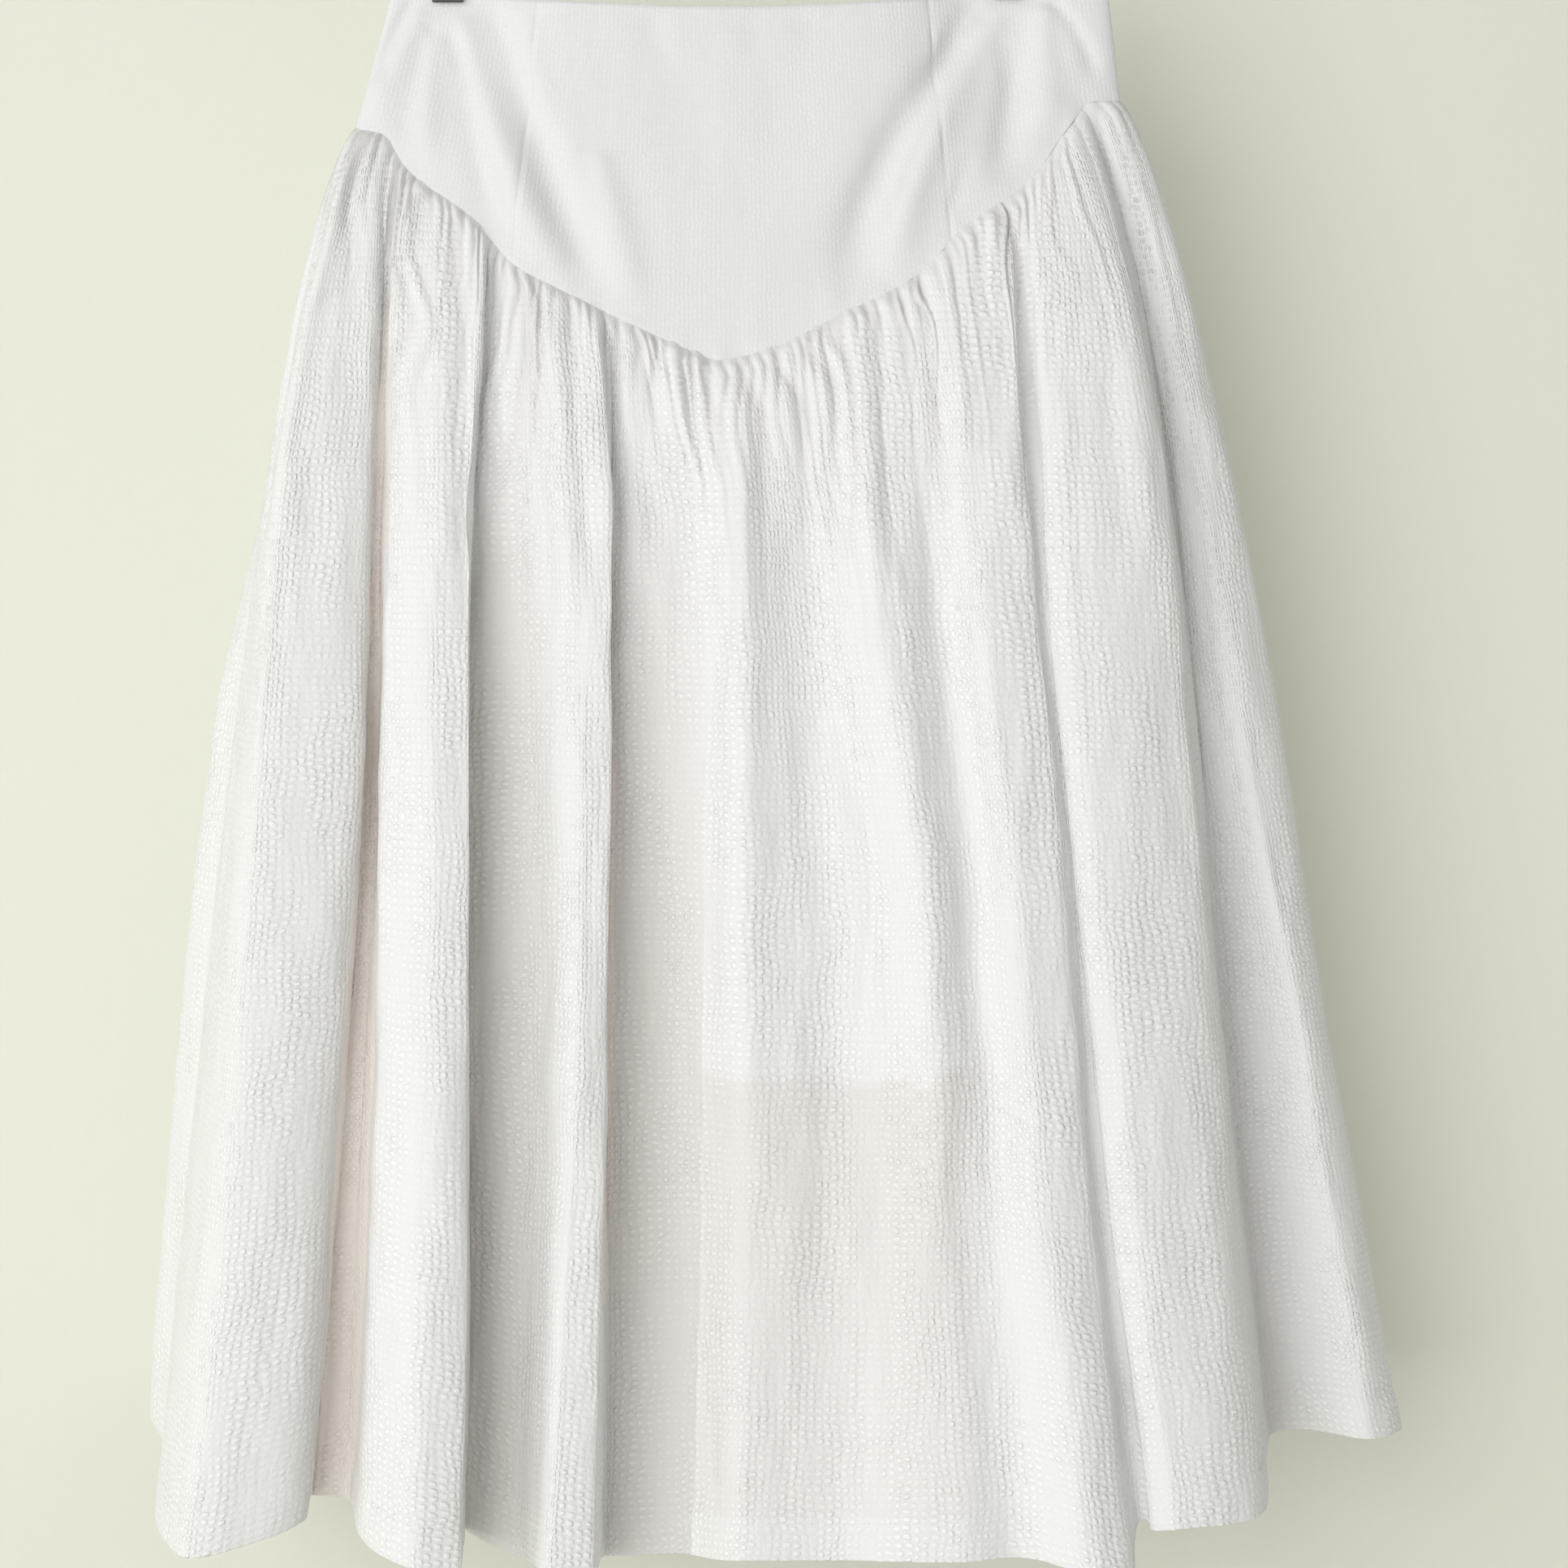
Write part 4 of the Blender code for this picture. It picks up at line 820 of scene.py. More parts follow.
CALM_FROM, CALM_RUN = 150 * MM, 30 * MM      # right of here the gathers are half as deep
top_round = places_round(skirt_ring[0])
small, small_groove_shade = ridges(SMALL_GATHERS, top_round[:-1], top_round[-1])
wide, wide_groove_shade = ridges(WIDE_GATHERS, top_round[:-1], top_round[-1])
flutes = ridges(FLUTES, places, along[-1])[0] + ridges(WIDE_FLUTES, places, along[-1])[0]
far_right = ease((skirt_ring[0, :, 0] - CALM_FROM) / CALM_RUN) * in_front
gathered = (small + wide) * (1 - 0.5 * far_right)
# painted shade in the grooves, half as strong where the gathers are calm
groove_shade_share = np.clip(small_groove_shade + wide_groove_shade, 0, 1) * (1 - 0.5 * far_right)
print("gathers from %.1f to %.1f mm" % (gathered.min() / MM, gathered.max() / MM))

# %% [markdown]
# ## Relief of the skirt
#
# Everything that stands out of the smooth folds is one array of heights: the gathers and flutes,
# soft swells where the cloth hangs slack, the creases of the table, the doubled hem with its row
# of stitches, and the dip of each seam. At the yoke's edge all of it is pressed down.

# %% Relief
SKIRT_SEAMS = (0, FRONT_COUNT, FRONT_COUNT + BACK_COUNT)
SEAM_SHARE = 0.25                            # share of a gather's height right at the seam
SEAM_RUN = 6 * MM
SEAM_SINK = 0.9 * MM
FLUTES_RUN, FLUTES_RUN_RIGHT = 34, 190       # mm over which the flutes begin, and more on the right
SLACK_FROM, SLACK_RUN = 25 * MM, 90 * MM
SKIRT_SWELLS = (Swell(31, 0.9, 17, 52), Swell(32, 2.0, 38, 170), Swell(33, 0.45, 8, 19, 0.6))
HEM_THICKNESS = 0.45 * MM
STITCH_SINK, STITCH_HALF_WIDTH = 0.55 * MM, 1.3 * MM
SEAM_CALM = 7 * MM                           # beside a seam the cloth lies flat
relief = gathered * blend(SEAM_SHARE, 1, ease(fallen / SEAM_RUN))
relief += flutes * ease(fallen / ((FLUTES_RUN + FLUTES_RUN_RIGHT * far_right[None]) * MM))
relief -= SEAM_SINK * np.exp(-fallen / SEAM_RUN)
slack = ease((fallen - SLACK_FROM) / SLACK_RUN)
relief += slack * swells(SKIRT_SWELLS, places[None] + fallen * 0, fallen)
facing = ease((-skirt_out[..., 1] - 0.15) / 0.6) * in_front[None]
relief += creased(CREASES, skirt_ring[..., 0], skirt_ring[..., 2]) * facing

above_hem = fallen[-1:] - fallen
stitch_line = np.exp(-((above_hem - HEM_TURN) / STITCH_HALF_WIDTH) ** 2)
relief += HEM_THICKNESS * ease(above_hem / (3 * MM)) * (above_hem < HEM_TURN) - STITCH_SINK * stitch_line
sewn = np.zeros_like(relief)
for column in SKIRT_SEAMS:
    near = distance_round(skirt_ring, column)
    relief *= 1 - np.exp(-(near / SEAM_CALM) ** 2)
    sewn = np.maximum(sewn, np.exp(-(near / SEAM_HALF_WIDTH) ** 2))
relief -= SEAM_DIP * sewn
print("relief from %.1f to %.1f mm" % (relief.min() / MM, relief.max() / MM))

# %% [markdown]
# ## Skirt panels
#
# The front is one wide panel and the back is two. Their hem is turned up 23 mm to the inside and
# stitched, so the same sheet goes round the edge and back up behind itself. Above the seam the
# gathers run a few millimetres up behind the yoke.

# %% Skirt grid
TUCK_DEPTH, TUCK_RISE = 2.6 * MM, 4 * MM      # the gathers' top row, behind the yoke
SWAY, SWAY_PITCH, SWAY_REACH = 1.4 * MM, 34 * MM, 35 * MM
EDGE = 0.5 * MM                               # half the thickness of the turned hem
GRAIN_AT_HEM = 985 * MM
hem_rows = len(hem_shares)
skirt_cloth = skirt_ring + skirt_out * relief[..., None]
sway = SWAY * unevenness(41, places[None] / SWAY_PITCH, fallen[-1:] * 0)[0]
skirt_cloth[..., 2] += sway * np.exp(-above_hem / SWAY_REACH)
tucked = skirt_ring[0] - seat_out * TUCK_DEPTH + np.array((0, 0, TUCK_RISE))
rounded = skirt_cloth[-1] - skirt_out[-1] * EDGE + np.array((0, 0, -0.35 * MM))
inside = skirt_cloth[-hem_rows:][::-1] - skirt_out[-hem_rows:][::-1] * 2 * EDGE
skirt_grid = np.concatenate((tucked[None], skirt_cloth, rounded[None], inside[1:]))


def round_hem(values):
    """Each row's value, from behind the yoke down the cloth, round the hem and up its back."""
    return np.concatenate((values[:1], values, values[-1:], values[-hem_rows:][::-1][1:]))


def length_round_hem(values):
    """The same for a length down the cloth, which goes on growing round the hem."""
    back = 2 * values[-1:] - values[-hem_rows:][::-1][1:]
    return np.concatenate((values[:1] - TUCK_RISE, values, values[-1:] + EDGE, back))


low_down = ease((SHARES - 0.45) / 0.5)[:, None]
v_grain = length_round_hem(blend(-skirt_ring[..., 2], GRAIN_AT_HEM - above_hem, low_down))
v_down = length_round_hem(fallen)
u_round = places[None] + v_down * 0
print("skirt grid:", skirt_grid.shape[:2])

# %% [markdown]
# ## Where shade is painted on the cotton
#
# Cloth that lies behind the crests gets less light, so a shade is painted on it, and in the narrow
# valleys, where the light has passed through cloth and comes out warm, a warm shade is painted. Below
# the lining's hem there is one layer less, so the shade inside shows through and the cotton is painted
# a touch greyer. The dark in the grooves of the gathers is painted shade too. Each of these is worked
# out from the form and carried by the sheet as a painted mark from 0 to 1, which the finish reads later.
# Two more marks are lengths in mm: how far up from the hem a point lies, and how far down from the seam.

# %% Marks for the finish
SIDE_CLEAR = 60 * MM      # the marks fade out this far from a side seam
outward = np.where(in_front, -1.0, 1.0)[None] * skirt_ring[..., 1]
from_side = np.minimum(np.abs(places - right_seam), np.minimum(places, along[-1] - places))
off_side = ease((from_side - SIDE_CLEAR) / SIDE_CLEAR)
same_side = in_front[None] == in_front[:, None]


def sunk_behind(reach, least, full):
    """How far each point lies behind cloth that is within reach on both sides of it, 0 to 1."""
    higher = []
    for depths, across in zip(outward, skirt_ring[..., 0]):
        offset = across[None] - across[:, None]
        sides = [np.where(same_side & (offset * side > 0) & (offset * side < reach), depths[None], -1.0)
                 for side in (-1, 1)]
        higher.append(np.minimum(sides[0].max(axis=1), sides[1].max(axis=1)))
    return round_hem(np.clip((np.array(higher) - outward - least) / (full - least), 0, 1) * off_side)


# Painted warm shade: how strongly the cloth beside each narrow valley is painted warm and darker
WARM_SHADE_VALLEYS = {"valley A to B, near side": 1.0, "valley B to C": 0.3, "valley C to D": 1.0,
                "valley E to F, near side": 0.25}
WARM_SHADE_REACH = 48 * MM
warm_shade_share = np.zeros(len(places))
for line, place in zip(FRONT_LINES, along):
    nearby = np.exp(-((places - place) / WARM_SHADE_REACH) ** 4)
    warm_shade_share = np.maximum(warm_shade_share, WARM_SHADE_VALLEYS.get(line.name, 0) * nearby)
painted_warm_shade = sunk_behind(reach=21 * MM, least=3 * MM, full=16 * MM) * warm_shade_share[None]
# Painted shade on the slopes that lie behind nearby crests, fading in below the seam
shaded_slope = sunk_behind(reach=48 * MM, least=4 * MM, full=30 * MM)
shaded_slope = shaded_slope * ease((v_down - SLACK_FROM) / SLACK_RUN)

# Painted see-through shade: below the line where the lining's hem shows, and between these two edges across
# the front, the cotton is painted greyer, less so lower down
LINING_HEM = -722 * MM
SHOWS_LEFT, SHOWS_RIGHT, SHOWS_STEP = -735.5 * MM, -726.5 * MM, 109 * MM
LINED_LEFT, LINED_RIGHT = (-64 * MM, 46 * MM), (144 * MM, 26 * MM)     # each edge and its softness
across, height = skirt_grid[..., 0], skirt_grid[..., 2]
shows_at = np.where(across < SHOWS_STEP, SHOWS_LEFT, SHOWS_RIGHT)
lit = ease((height - shows_at + 2 * MM) / (4 * MM))
behind = ease((across - LINED_LEFT[0]) / LINED_LEFT[1]) * ease((LINED_RIGHT[0] - across) / LINED_RIGHT[1])
fades = 1 - 0.45 * ease((shows_at - height) / (200 * MM))
# Four marks carry painted shade: greyer below the lining's hem, warm in the valleys, dim on the slopes and
# dark in the grooves; the other two are lengths
marks = {"see_through_shade": (1 - lit) * behind * fades * in_front, "up_hem": round_hem(above_hem) / MM, "painted_warm_shade": painted_warm_shade,
         "slope": shaded_slope, "painted_groove_shade": round_hem(groove_shade_share), "from_seam": v_down / MM}
print("marks:", {label: (round(float(m.min()), 2), round(float(m.max()), 2)) for label, m in marks.items()})

# %% Skirt panels
skirt_cuts = (
    ("skirt_front", SKIRT_SEAMS[0], SKIRT_SEAMS[1]),
    ("skirt_back_right", SKIRT_SEAMS[1], SKIRT_SEAMS[2]),
    ("skirt_back_left", SKIRT_SEAMS[2], len(places)),
)
cut_panels(skirt_cuts, skirt_grid, u_round, v_grain, along[-1], marks)

# %% [markdown]
# ## The lining
#
# A plain thin lining hangs inside from the waist to the knee. From the front only its hem shows,
# as a faint level line that is painted as shade on the cotton. It is a loose flattened tube of two panels.

# %% Lining
LINING_HALF_DEPTH = 20 * MM
LINING_LEFT_HEM = -204 * MM
LINING_RIGHT_HEM = 214 * MM
LINING_INSET = 7.0 * MM
LINING_INSET_RUN = 60 * MM
LINING_FREE_BELOW = -340 * MM
LINING_HOLD = 1.35
LINING_CLEAR = 1.8 * MM           # least space between the yoke and the lining
LINING_LEAST = 1.15 * MM          # least half depth of the flattened tube
LINING_STEPS = 56


def lining_face(side):
    angles = np.linspace(0, math.pi, LINING_STEPS + 1)
    rows = []
    for share in np.linspace(0, 1, LINING_STEPS) ** 1.3:
        z_mean = blend(WAIST_AT_CLIP, LINING_HEM, share)
        left, right = yoke_sides(z_mean)
        left = blend(left, LINING_LEFT_HEM, share)
        right = blend(right, LINING_RIGHT_HEM, share)
        middle, half = (left + right) / 2, (right - left) / 2
        inset = LINING_CLEAR + LINING_INSET * min(1, (WAIST_AT_CLIP - z_mean) / LINING_INSET_RUN)
        x = middle - (half - inset) * np.cos(angles)
        z = blend(waist_height(x) - 1.5 * MM, LINING_HEM, share)
        fitted = np.abs(yoke_depth(x, z, side, folds=False, hold=LINING_HOLD)) - inset
        drags, pulls = (FRONT_DRAGS, FRONT_PULLS) if side < 0 else (BACK_DRAGS, BACK_PULLS)
        fitted += np.minimum(creased(drags, x, z), 0) + np.minimum(creased(pulls, x, z, fan=True), 0)
        loose = LINING_HALF_DEPTH * np.sqrt(1 - np.abs(np.cos(angles)) ** SIDE_ROUNDNESS)
        depth = np.minimum(fitted, loose) if z_mean > LINING_FREE_BELOW else loose
        depth[1:-1] = np.maximum(depth[1:-1], LINING_LEAST)
        depth[0] = depth[-1] = 0.0
        rows.append(np.stack((x, side * depth, z), axis=1))
    return np.array(rows)


lining_front, lining_back = lining_face(-1), lining_face(1)
lining_ring = np.concatenate((lining_front, lining_back[:, -2:0:-1]), axis=1)
lining_out = level(ring_directions(lining_ring))
print("lining ring: %d rows, %d columns" % lining_ring.shape[:2])

# %% [markdown]
# ## The lining's panels
#
# The lining hangs slack, so soft swells run down it. Its hem is turned up 12 mm to the inside, as
# two more rows of the same sheet, and the tube is cut at the two side seams.

# %% Lining panels
LINING_SWELL = Swell(51, 1.6, 35, 90)
LINING_PITCH = 7 * MM
lining_u = np.arange(lining_ring.shape[1])[None] * LINING_PITCH
soft = swells([LINING_SWELL], lining_u + lining_ring[..., 2] * 0, -lining_ring[..., 2])
soft *= ease((WAIST_AT_CLIP - lining_ring[..., 2]) / (150 * MM))
lining_cloth = lining_ring + lining_out * soft[..., None]
turn_up = [lining_cloth[-1] - lining_out[-1] * 0.6 * MM + np.array((0, 0, -0.3 * MM)),
           lining_cloth[-1] - lining_out[-1] * 0.9 * MM + np.array((0, 0, 12 * MM))]
lining_grid = np.concatenate((lining_cloth, np.array(turn_up)))
lining_u = lining_u + lining_grid[..., 2] * 0
for node, start, end in (("lining_front", 0, LINING_STEPS), ("lining_back", LINING_STEPS, 2 * LINING_STEPS)):
    picked = np.arange(start, end + 1) % lining_ring.shape[1]
    weave = np.stack((lining_u[:, picked], -lining_grid[:, picked, 2]), axis=-1)
    pieces[node] = sheet(node + "_cloth", lining_grid[:, picked], weave)
    print(node, "area %.4f m2" % area_of(pieces[node]))

# %% [markdown]
# ## Stitches
#
# The hem's stitches are small beads of thread that sink into the cloth. One mesh holds them all:
# a six-cornered bead is placed along the hem's line every few millimetres.

# %% Hem stitches
STITCH_PITCH = 2.8 * MM
STITCH_LENGTH = 1.9 * MM
THREAD_RADIUS = 0.22 * MM


def stitches(name, path, out):
    """Beads of thread along a path that lies on the cloth."""
    step = np.linalg.norm(np.diff(path, axis=0), axis=1)
    place = np.concatenate(((0.0,), np.cumsum(step)))
    spots = np.arange(STITCH_PITCH / 2, place[-1], STITCH_PITCH)
    centre = np.stack([np.interp(spots, place, path[:, i]) for i in range(3)], axis=1)
    ahead = np.stack([np.interp(spots + 0.5 * MM, place, path[:, i]) for i in range(3)], axis=1)
    lift = unit(np.stack([np.interp(spots, place, out[:, i]) for i in range(3)], axis=1))
    way = unit(ahead - centre + 1e-9)
    side = unit(np.cross(way, lift))
    vertices, faces = [], []
    for c, w, s, o in zip(centre, way, side, lift):
        n = len(vertices)
        vertices += [c - w * STITCH_LENGTH / 2 - o * THREAD_RADIUS, c + s * THREAD_RADIUS,
                     c + o * THREAD_RADIUS * 1.4, c - s * THREAD_RADIUS, c - o * THREAD_RADIUS,
                     c + w * STITCH_LENGTH / 2 - o * THREAD_RADIUS]
        for a, b in ((1, 2), (2, 3), (3, 4), (4, 1)):
            faces += [(n, n + a, n + b), (n + 5, n + b, n + a)]
    mesh = bpy.data.meshes.new(name)
    mesh.from_pydata([tuple(v) for v in vertices], [], faces)
    mesh.shade_smooth()
    print(name, len(spots), "stitches")
    return linked(name, mesh)


hem_row = len(SHARES) - hem_rows
closed = np.append(np.arange(len(places)), 0)
hem_path = (skirt_cloth[hem_row] + skirt_out[hem_row] * 0.1 * MM)[closed]
hem_stitches = stitches("hem_stitches", hem_path, skirt_out[hem_row][closed])

# %% [markdown]
# ## The zip
#
# The yoke opens at the centre back with a white zip. Its teeth lie in the seam; the slider and
# its pull are solids of the model and keep their shape. We add the two rows of teeth below the
# slider, each a small bead that leans into its neighbour.

# %% Zip teeth
TOOTH_PITCH = 1.5 * MM
TOOTH_SIZE = (1.0 * MM, 0.6 * MM, 0.62 * MM)
TOOTH_ASIDE, TOOTH_SUNK = 0.55 * MM, 0.1 * MM
TEETH_FOOT = -292 * MM
BACK_POINT = -300 * MM        # where the centre back seam meets the yoke's lower edge


def zip_teeth(name, top_z, foot_z):
    """Two rows of beads down the centre back seam, turn and turn about."""
    shape = bmesh.new()
    z = top_z
    side = 1
    while z > foot_z:
        share = (WAIST_AT_CLIP - z) / (WAIST_AT_CLIP - BACK_POINT)
        x = blend(CENTRE_BACK.waist, CENTRE_BACK.seam, share) * MM + side * TOOTH_ASIDE
        y = float(yoke_depth(np.array([x]), np.array([z]), 1)[0]) - TOOTH_SUNK
        made = bmesh.ops.create_uvsphere(shape, u_segments=8, v_segments=6, radius=1.0)
        bmesh.ops.scale(shape, vec=TOOTH_SIZE, verts=made["verts"])
        bmesh.ops.translate(shape, vec=(x, y, z), verts=made["verts"])
        side = -side
        z -= TOOTH_PITCH / 2
    mesh = bpy.data.meshes.new(name)
    shape.to_mesh(mesh)
    shape.free()
    mesh.shade_smooth()
    return linked(name, mesh)


slider_low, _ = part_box("zip_slider")
teeth = zip_teeth("zip_teeth", slider_low[2] - 0.4 * MM, TEETH_FOOT)
print("teeth below z %.1f mm" % (slider_low[2] / MM))

# %% [markdown]
# ## The hanger
#
# The picture shows only the lower edge of one clip, so the hanger is a plain one: a steel bar, an
# open hook and two sprung clips with rubber pads. The bar and hook are drawn again as smooth
# round wires, and the clips keep their solids.

# %% Hanger wires
BAR_HEIGHT = -118 * MM
BAR_RADIUS = 2.5 * MM
BAR_HALF_LENGTH = 205 * MM
WIRE_RADIUS = 1.9 * MM
HOOK_INSIDE = 20 * MM
HOOK_NECK_RADIUS = 12 * MM
HOOK_END = math.radians(200)
STEM = 25 * MM                # straight wire just under the neck's bend


def wire(name, points, radius):
    """A round wire through the points, with capped ends."""
    data = bpy.data.curves.new(name, "CURVE")
    data.dimensions = "3D"
    data.bevel_depth = radius
    data.bevel_resolution = 6
    data.use_fill_caps = True
    spline = data.splines.new("POLY")
    spline.points.add(len(points) - 1)
    for place, point in zip(spline.points, points):
        place.co = (*point, 1.0)
    spline.use_smooth = True
    return linked(name, data)


def hook_points():
    wire_centre = HOOK_INSIDE + WIRE_RADIUS
    neck = HOOK_NECK_RADIUS
    rise = math.sqrt((neck + wire_centre) ** 2 - neck ** 2)
    points = [(0.0, 0.0, BAR_HEIGHT + BAR_RADIUS * 0.4), (0.0, 0.0, -HOOK_INSIDE - rise - STEM)]
    meet = math.atan2(rise, -neck)
    for angle in np.linspace(math.pi, meet, 14):
        points.append((neck + neck * math.cos(angle), 0.0, -HOOK_INSIDE - rise + neck * math.sin(angle)))
    for angle in np.linspace(meet - math.pi, HOOK_END, 70)[1:]:
        points.append((wire_centre * math.cos(angle), 0.0, -HOOK_INSIDE + wire_centre * math.sin(angle)))
    return points


bar = wire("hanger_bar", [(-BAR_HALF_LENGTH, 0, BAR_HEIGHT), (BAR_HALF_LENGTH, 0, BAR_HEIGHT)], BAR_RADIUS)
hook = wire("hanger_hook", hook_points(), WIRE_RADIUS)
print("hook wire has", len(hook_points()), "points")

# %% [markdown]
# ## Materials as expressions
#
# A material is a small network of nodes. The class below lets us write the numbers in it as
# ordinary Python, such as `1 - puff * 0.2`, and adds one Math node for each sign.

# %% Wires
class Wire:
    """One number or colour on its way through a finish."""

    def __init__(self, finish, socket):
        self.finish, self.socket = finish, socket

    def math(self, operation, *others):
        sockets = {"_%d" % i: value for i, value in enumerate((self, *others))}
        return self.finish.node("ShaderNodeMath", {"operation": operation}, **sockets).wire()

    def flipped(self, operation, other):
        return self.finish.node("ShaderNodeMath", {"operation": operation}, _0=other, _1=self).wire()

    def __add__(self, other):
        return self.math("ADD", other)

    def __sub__(self, other):
        return self.math("SUBTRACT", other)

    def __mul__(self, other):
        return self.math("MULTIPLY", other)

    def __truediv__(self, other):
        return self.math("DIVIDE", other)

    def __rsub__(self, other):
        return self.flipped("SUBTRACT", other)

    __radd__ = __add__
    __rmul__ = __mul__

    def sin(self):
        return self.math("SINE")

    def abs(self):
        return self.math("ABSOLUTE")

    def step(self, low, high):
        """0 below low, 1 above high, with a soft turn between."""
        made = self.finish.node("ShaderNodeMapRange", {"interpolation_type": "SMOOTHSTEP"},
                                Value=self, From_Min=low, From_Max=high)
        return made.wire("Result")


print("a wire can be added, taken away, multiplied and divided")

# %% [markdown]
# ## A finish and its nodes
#
# Every node comes from one method, which takes the node's type, its settings and the values or
# links of its sockets. The short methods after it name what cloth needs most: a mark, a place,
# the weave, a mix, a noise and a bump.

# %% Finishes
class Node:
    def __init__(self, finish, node):
        self.finish, self.node = finish, node

    def wire(self, name=0):
        return Wire(self.finish, self.node.outputs[name])


class Finish:
    """A material and the one method that adds nodes to it."""

    def __init__(self, name, roughness, metallic=0.0):
        self.material = bpy.data.materials.new(name)
        self.material.use_nodes = True
        self.tree = self.material.node_tree
        self.shader = self.tree.nodes["Principled BSDF"]
        self.shader.inputs["Roughness"].default_value = roughness
        self.shader.inputs["Metallic"].default_value = metallic

    def feed(self, socket, value):
        if isinstance(value, Wire):
            self.tree.links.new(value.socket, socket)
        else:
            socket.default_value = value

    def node(self, kind, settings=None, **sockets):
        """Adds a node. A socket is given by its name, or by its number after a low line."""
        made = self.tree.nodes.new(kind)
        for key, value in (settings or {}).items():
            setattr(made, key, value)
        for key, value in sockets.items():
            name = int(key[1:]) if key[0] == "_" else key.replace("_", " ")
            self.feed(made.inputs[name], value)
        return Node(self, made)

    def mark(self, name):
        """A mark that a sheet carries: a share from 0 to 1, or a length in mm."""
        return self.node("ShaderNodeAttribute", {"attribute_name": name}).wire("Fac")

    def place(self):
        return self.node("ShaderNodeTexCoord").wire("Object")

    def weave(self):
        return self.node("ShaderNodeUVMap", {"uv_map": "weave"}).wire("UV")

    def stretched(self, spot, across, down):
        """The spot measured in units of so much across and so much down."""
        return self.node("ShaderNodeVectorMath", {"operation": "MULTIPLY"}, _0=spot,
                         _1=(1 / across, 1 / down, 1.0)).wire(0)

    def mix(self, factor, first, second):
        first = (*first, 1.0) if isinstance(first, tuple) else first
        second = (*second, 1.0) if isinstance(second, tuple) else second
        made = self.node("ShaderNodeMix", {"data_type": "RGBA"}, _0=factor, _6=first, _7=second)
        return made.wire(2)

    def noise(self, spot, scale, detail=2.0):
        made = self.node("ShaderNodeTexNoise", None, Vector=spot, Scale=scale, Detail=detail)
        return made.wire(0)

    def bump(self, height, distance, strength=1.0):
        made = self.node("ShaderNodeBump", None, Height=height, Distance=distance, Strength=strength)
        self.feed(self.shader.inputs["Normal"], made.wire("Normal"))

    def colour(self, value):
        self.feed(self.shader.inputs["Base Color"], value)


print("the expressions of a finish are ready")

# %% [markdown]
# ## Seersucker
#
# Seersucker is woven with slack and tight threads by turns, so it stands in rows of small square
# puffs with fine sunk lines between them. The weave coordinates are cut into cells, a puff to a
# cell, and each has a height of its own. Slow noises bend the rows and make the cloth livelier in
# some patches than in others. The sunk lines are a touch darker, because less light reaches them.

# %% Rows of puffs
# A kind of puffed cotton: its puffs' pitch across and down in mm, their height, how patchy it is
# (0 to 1), how clearly its rows are parted (0 to 1), the strength of its fine creases and their
# size across and down in mm, how far its columns bend, and over how many mm from the seam the
# puffs grow to their full height
Puffs = namedtuple("Puffs", "across down height patchy rows creases crease_size bend grows_over")
SKIRT_PUFFS = Puffs(4.35, 4.2, 0.62 * MM, 0.7, 1.0, 0.9, (3.0, 9.0), 11.0, 26.0)
YOKE_PUFFS = Puffs(2.3, 3.4, 0.13 * MM, 0.6, 0.6, 1.5, (0.9, 1.3), 3.0, 0.0)
SLOW, QUICK = 0.030, 0.16            # noises with waves about 33 mm and 6 mm long
LIVELY_PATCH = (24, 90)              # mm across and down
SLIDE, SLIDE_RUN = 9.0, 38           # columns slip against each other by some mm over this run
STRIPE_STEP = 0.71                   # parts the noise of one column from that of the next


def cells(finish, spot, kind):
    """Columns and rows of the puffs as numbers that grow by 1 to a puff, and the lively patches."""
    parts = finish.node("ShaderNodeSeparateXYZ", None, Vector=spot)
    u, v = parts.wire("X"), parts.wire("Y")
    sway = finish.noise(spot, SLOW, 2.0) - 0.5
    wobble = finish.noise(spot, QUICK, 1.0) - 0.5
    lively = finish.noise(finish.stretched(spot, *LIVELY_PATCH), 1.0, 2.0).step(0.36, 0.60)
    columns = (u + sway * kind.bend + wobble * (lively * 1.6 + 0.5)) / kind.across
    stripe_spot = finish.node("ShaderNodeCombineXYZ", None, X=columns.math("FLOOR") * STRIPE_STEP,
                              Y=v * (1 / SLIDE_RUN)).wire()
    slid = (finish.noise(stripe_spot, 1.0, 1.0) - 0.5) * lively * SLIDE
    rows = (v + sway * 2.0 + wobble * 0.8 + slid) / kind.down
    return columns, rows, lively


print("a puff of the skirt: %.2f x %.2f mm" % (SKIRT_PUFFS.across, SKIRT_PUFFS.down))

# %% Puffed cotton
LEAST_PUFF = 0.4
COTTON_SHEEN = {"Sheen Weight": 0.10, "Sheen Roughness": 0.5, "Specular IOR Level": 0.25}


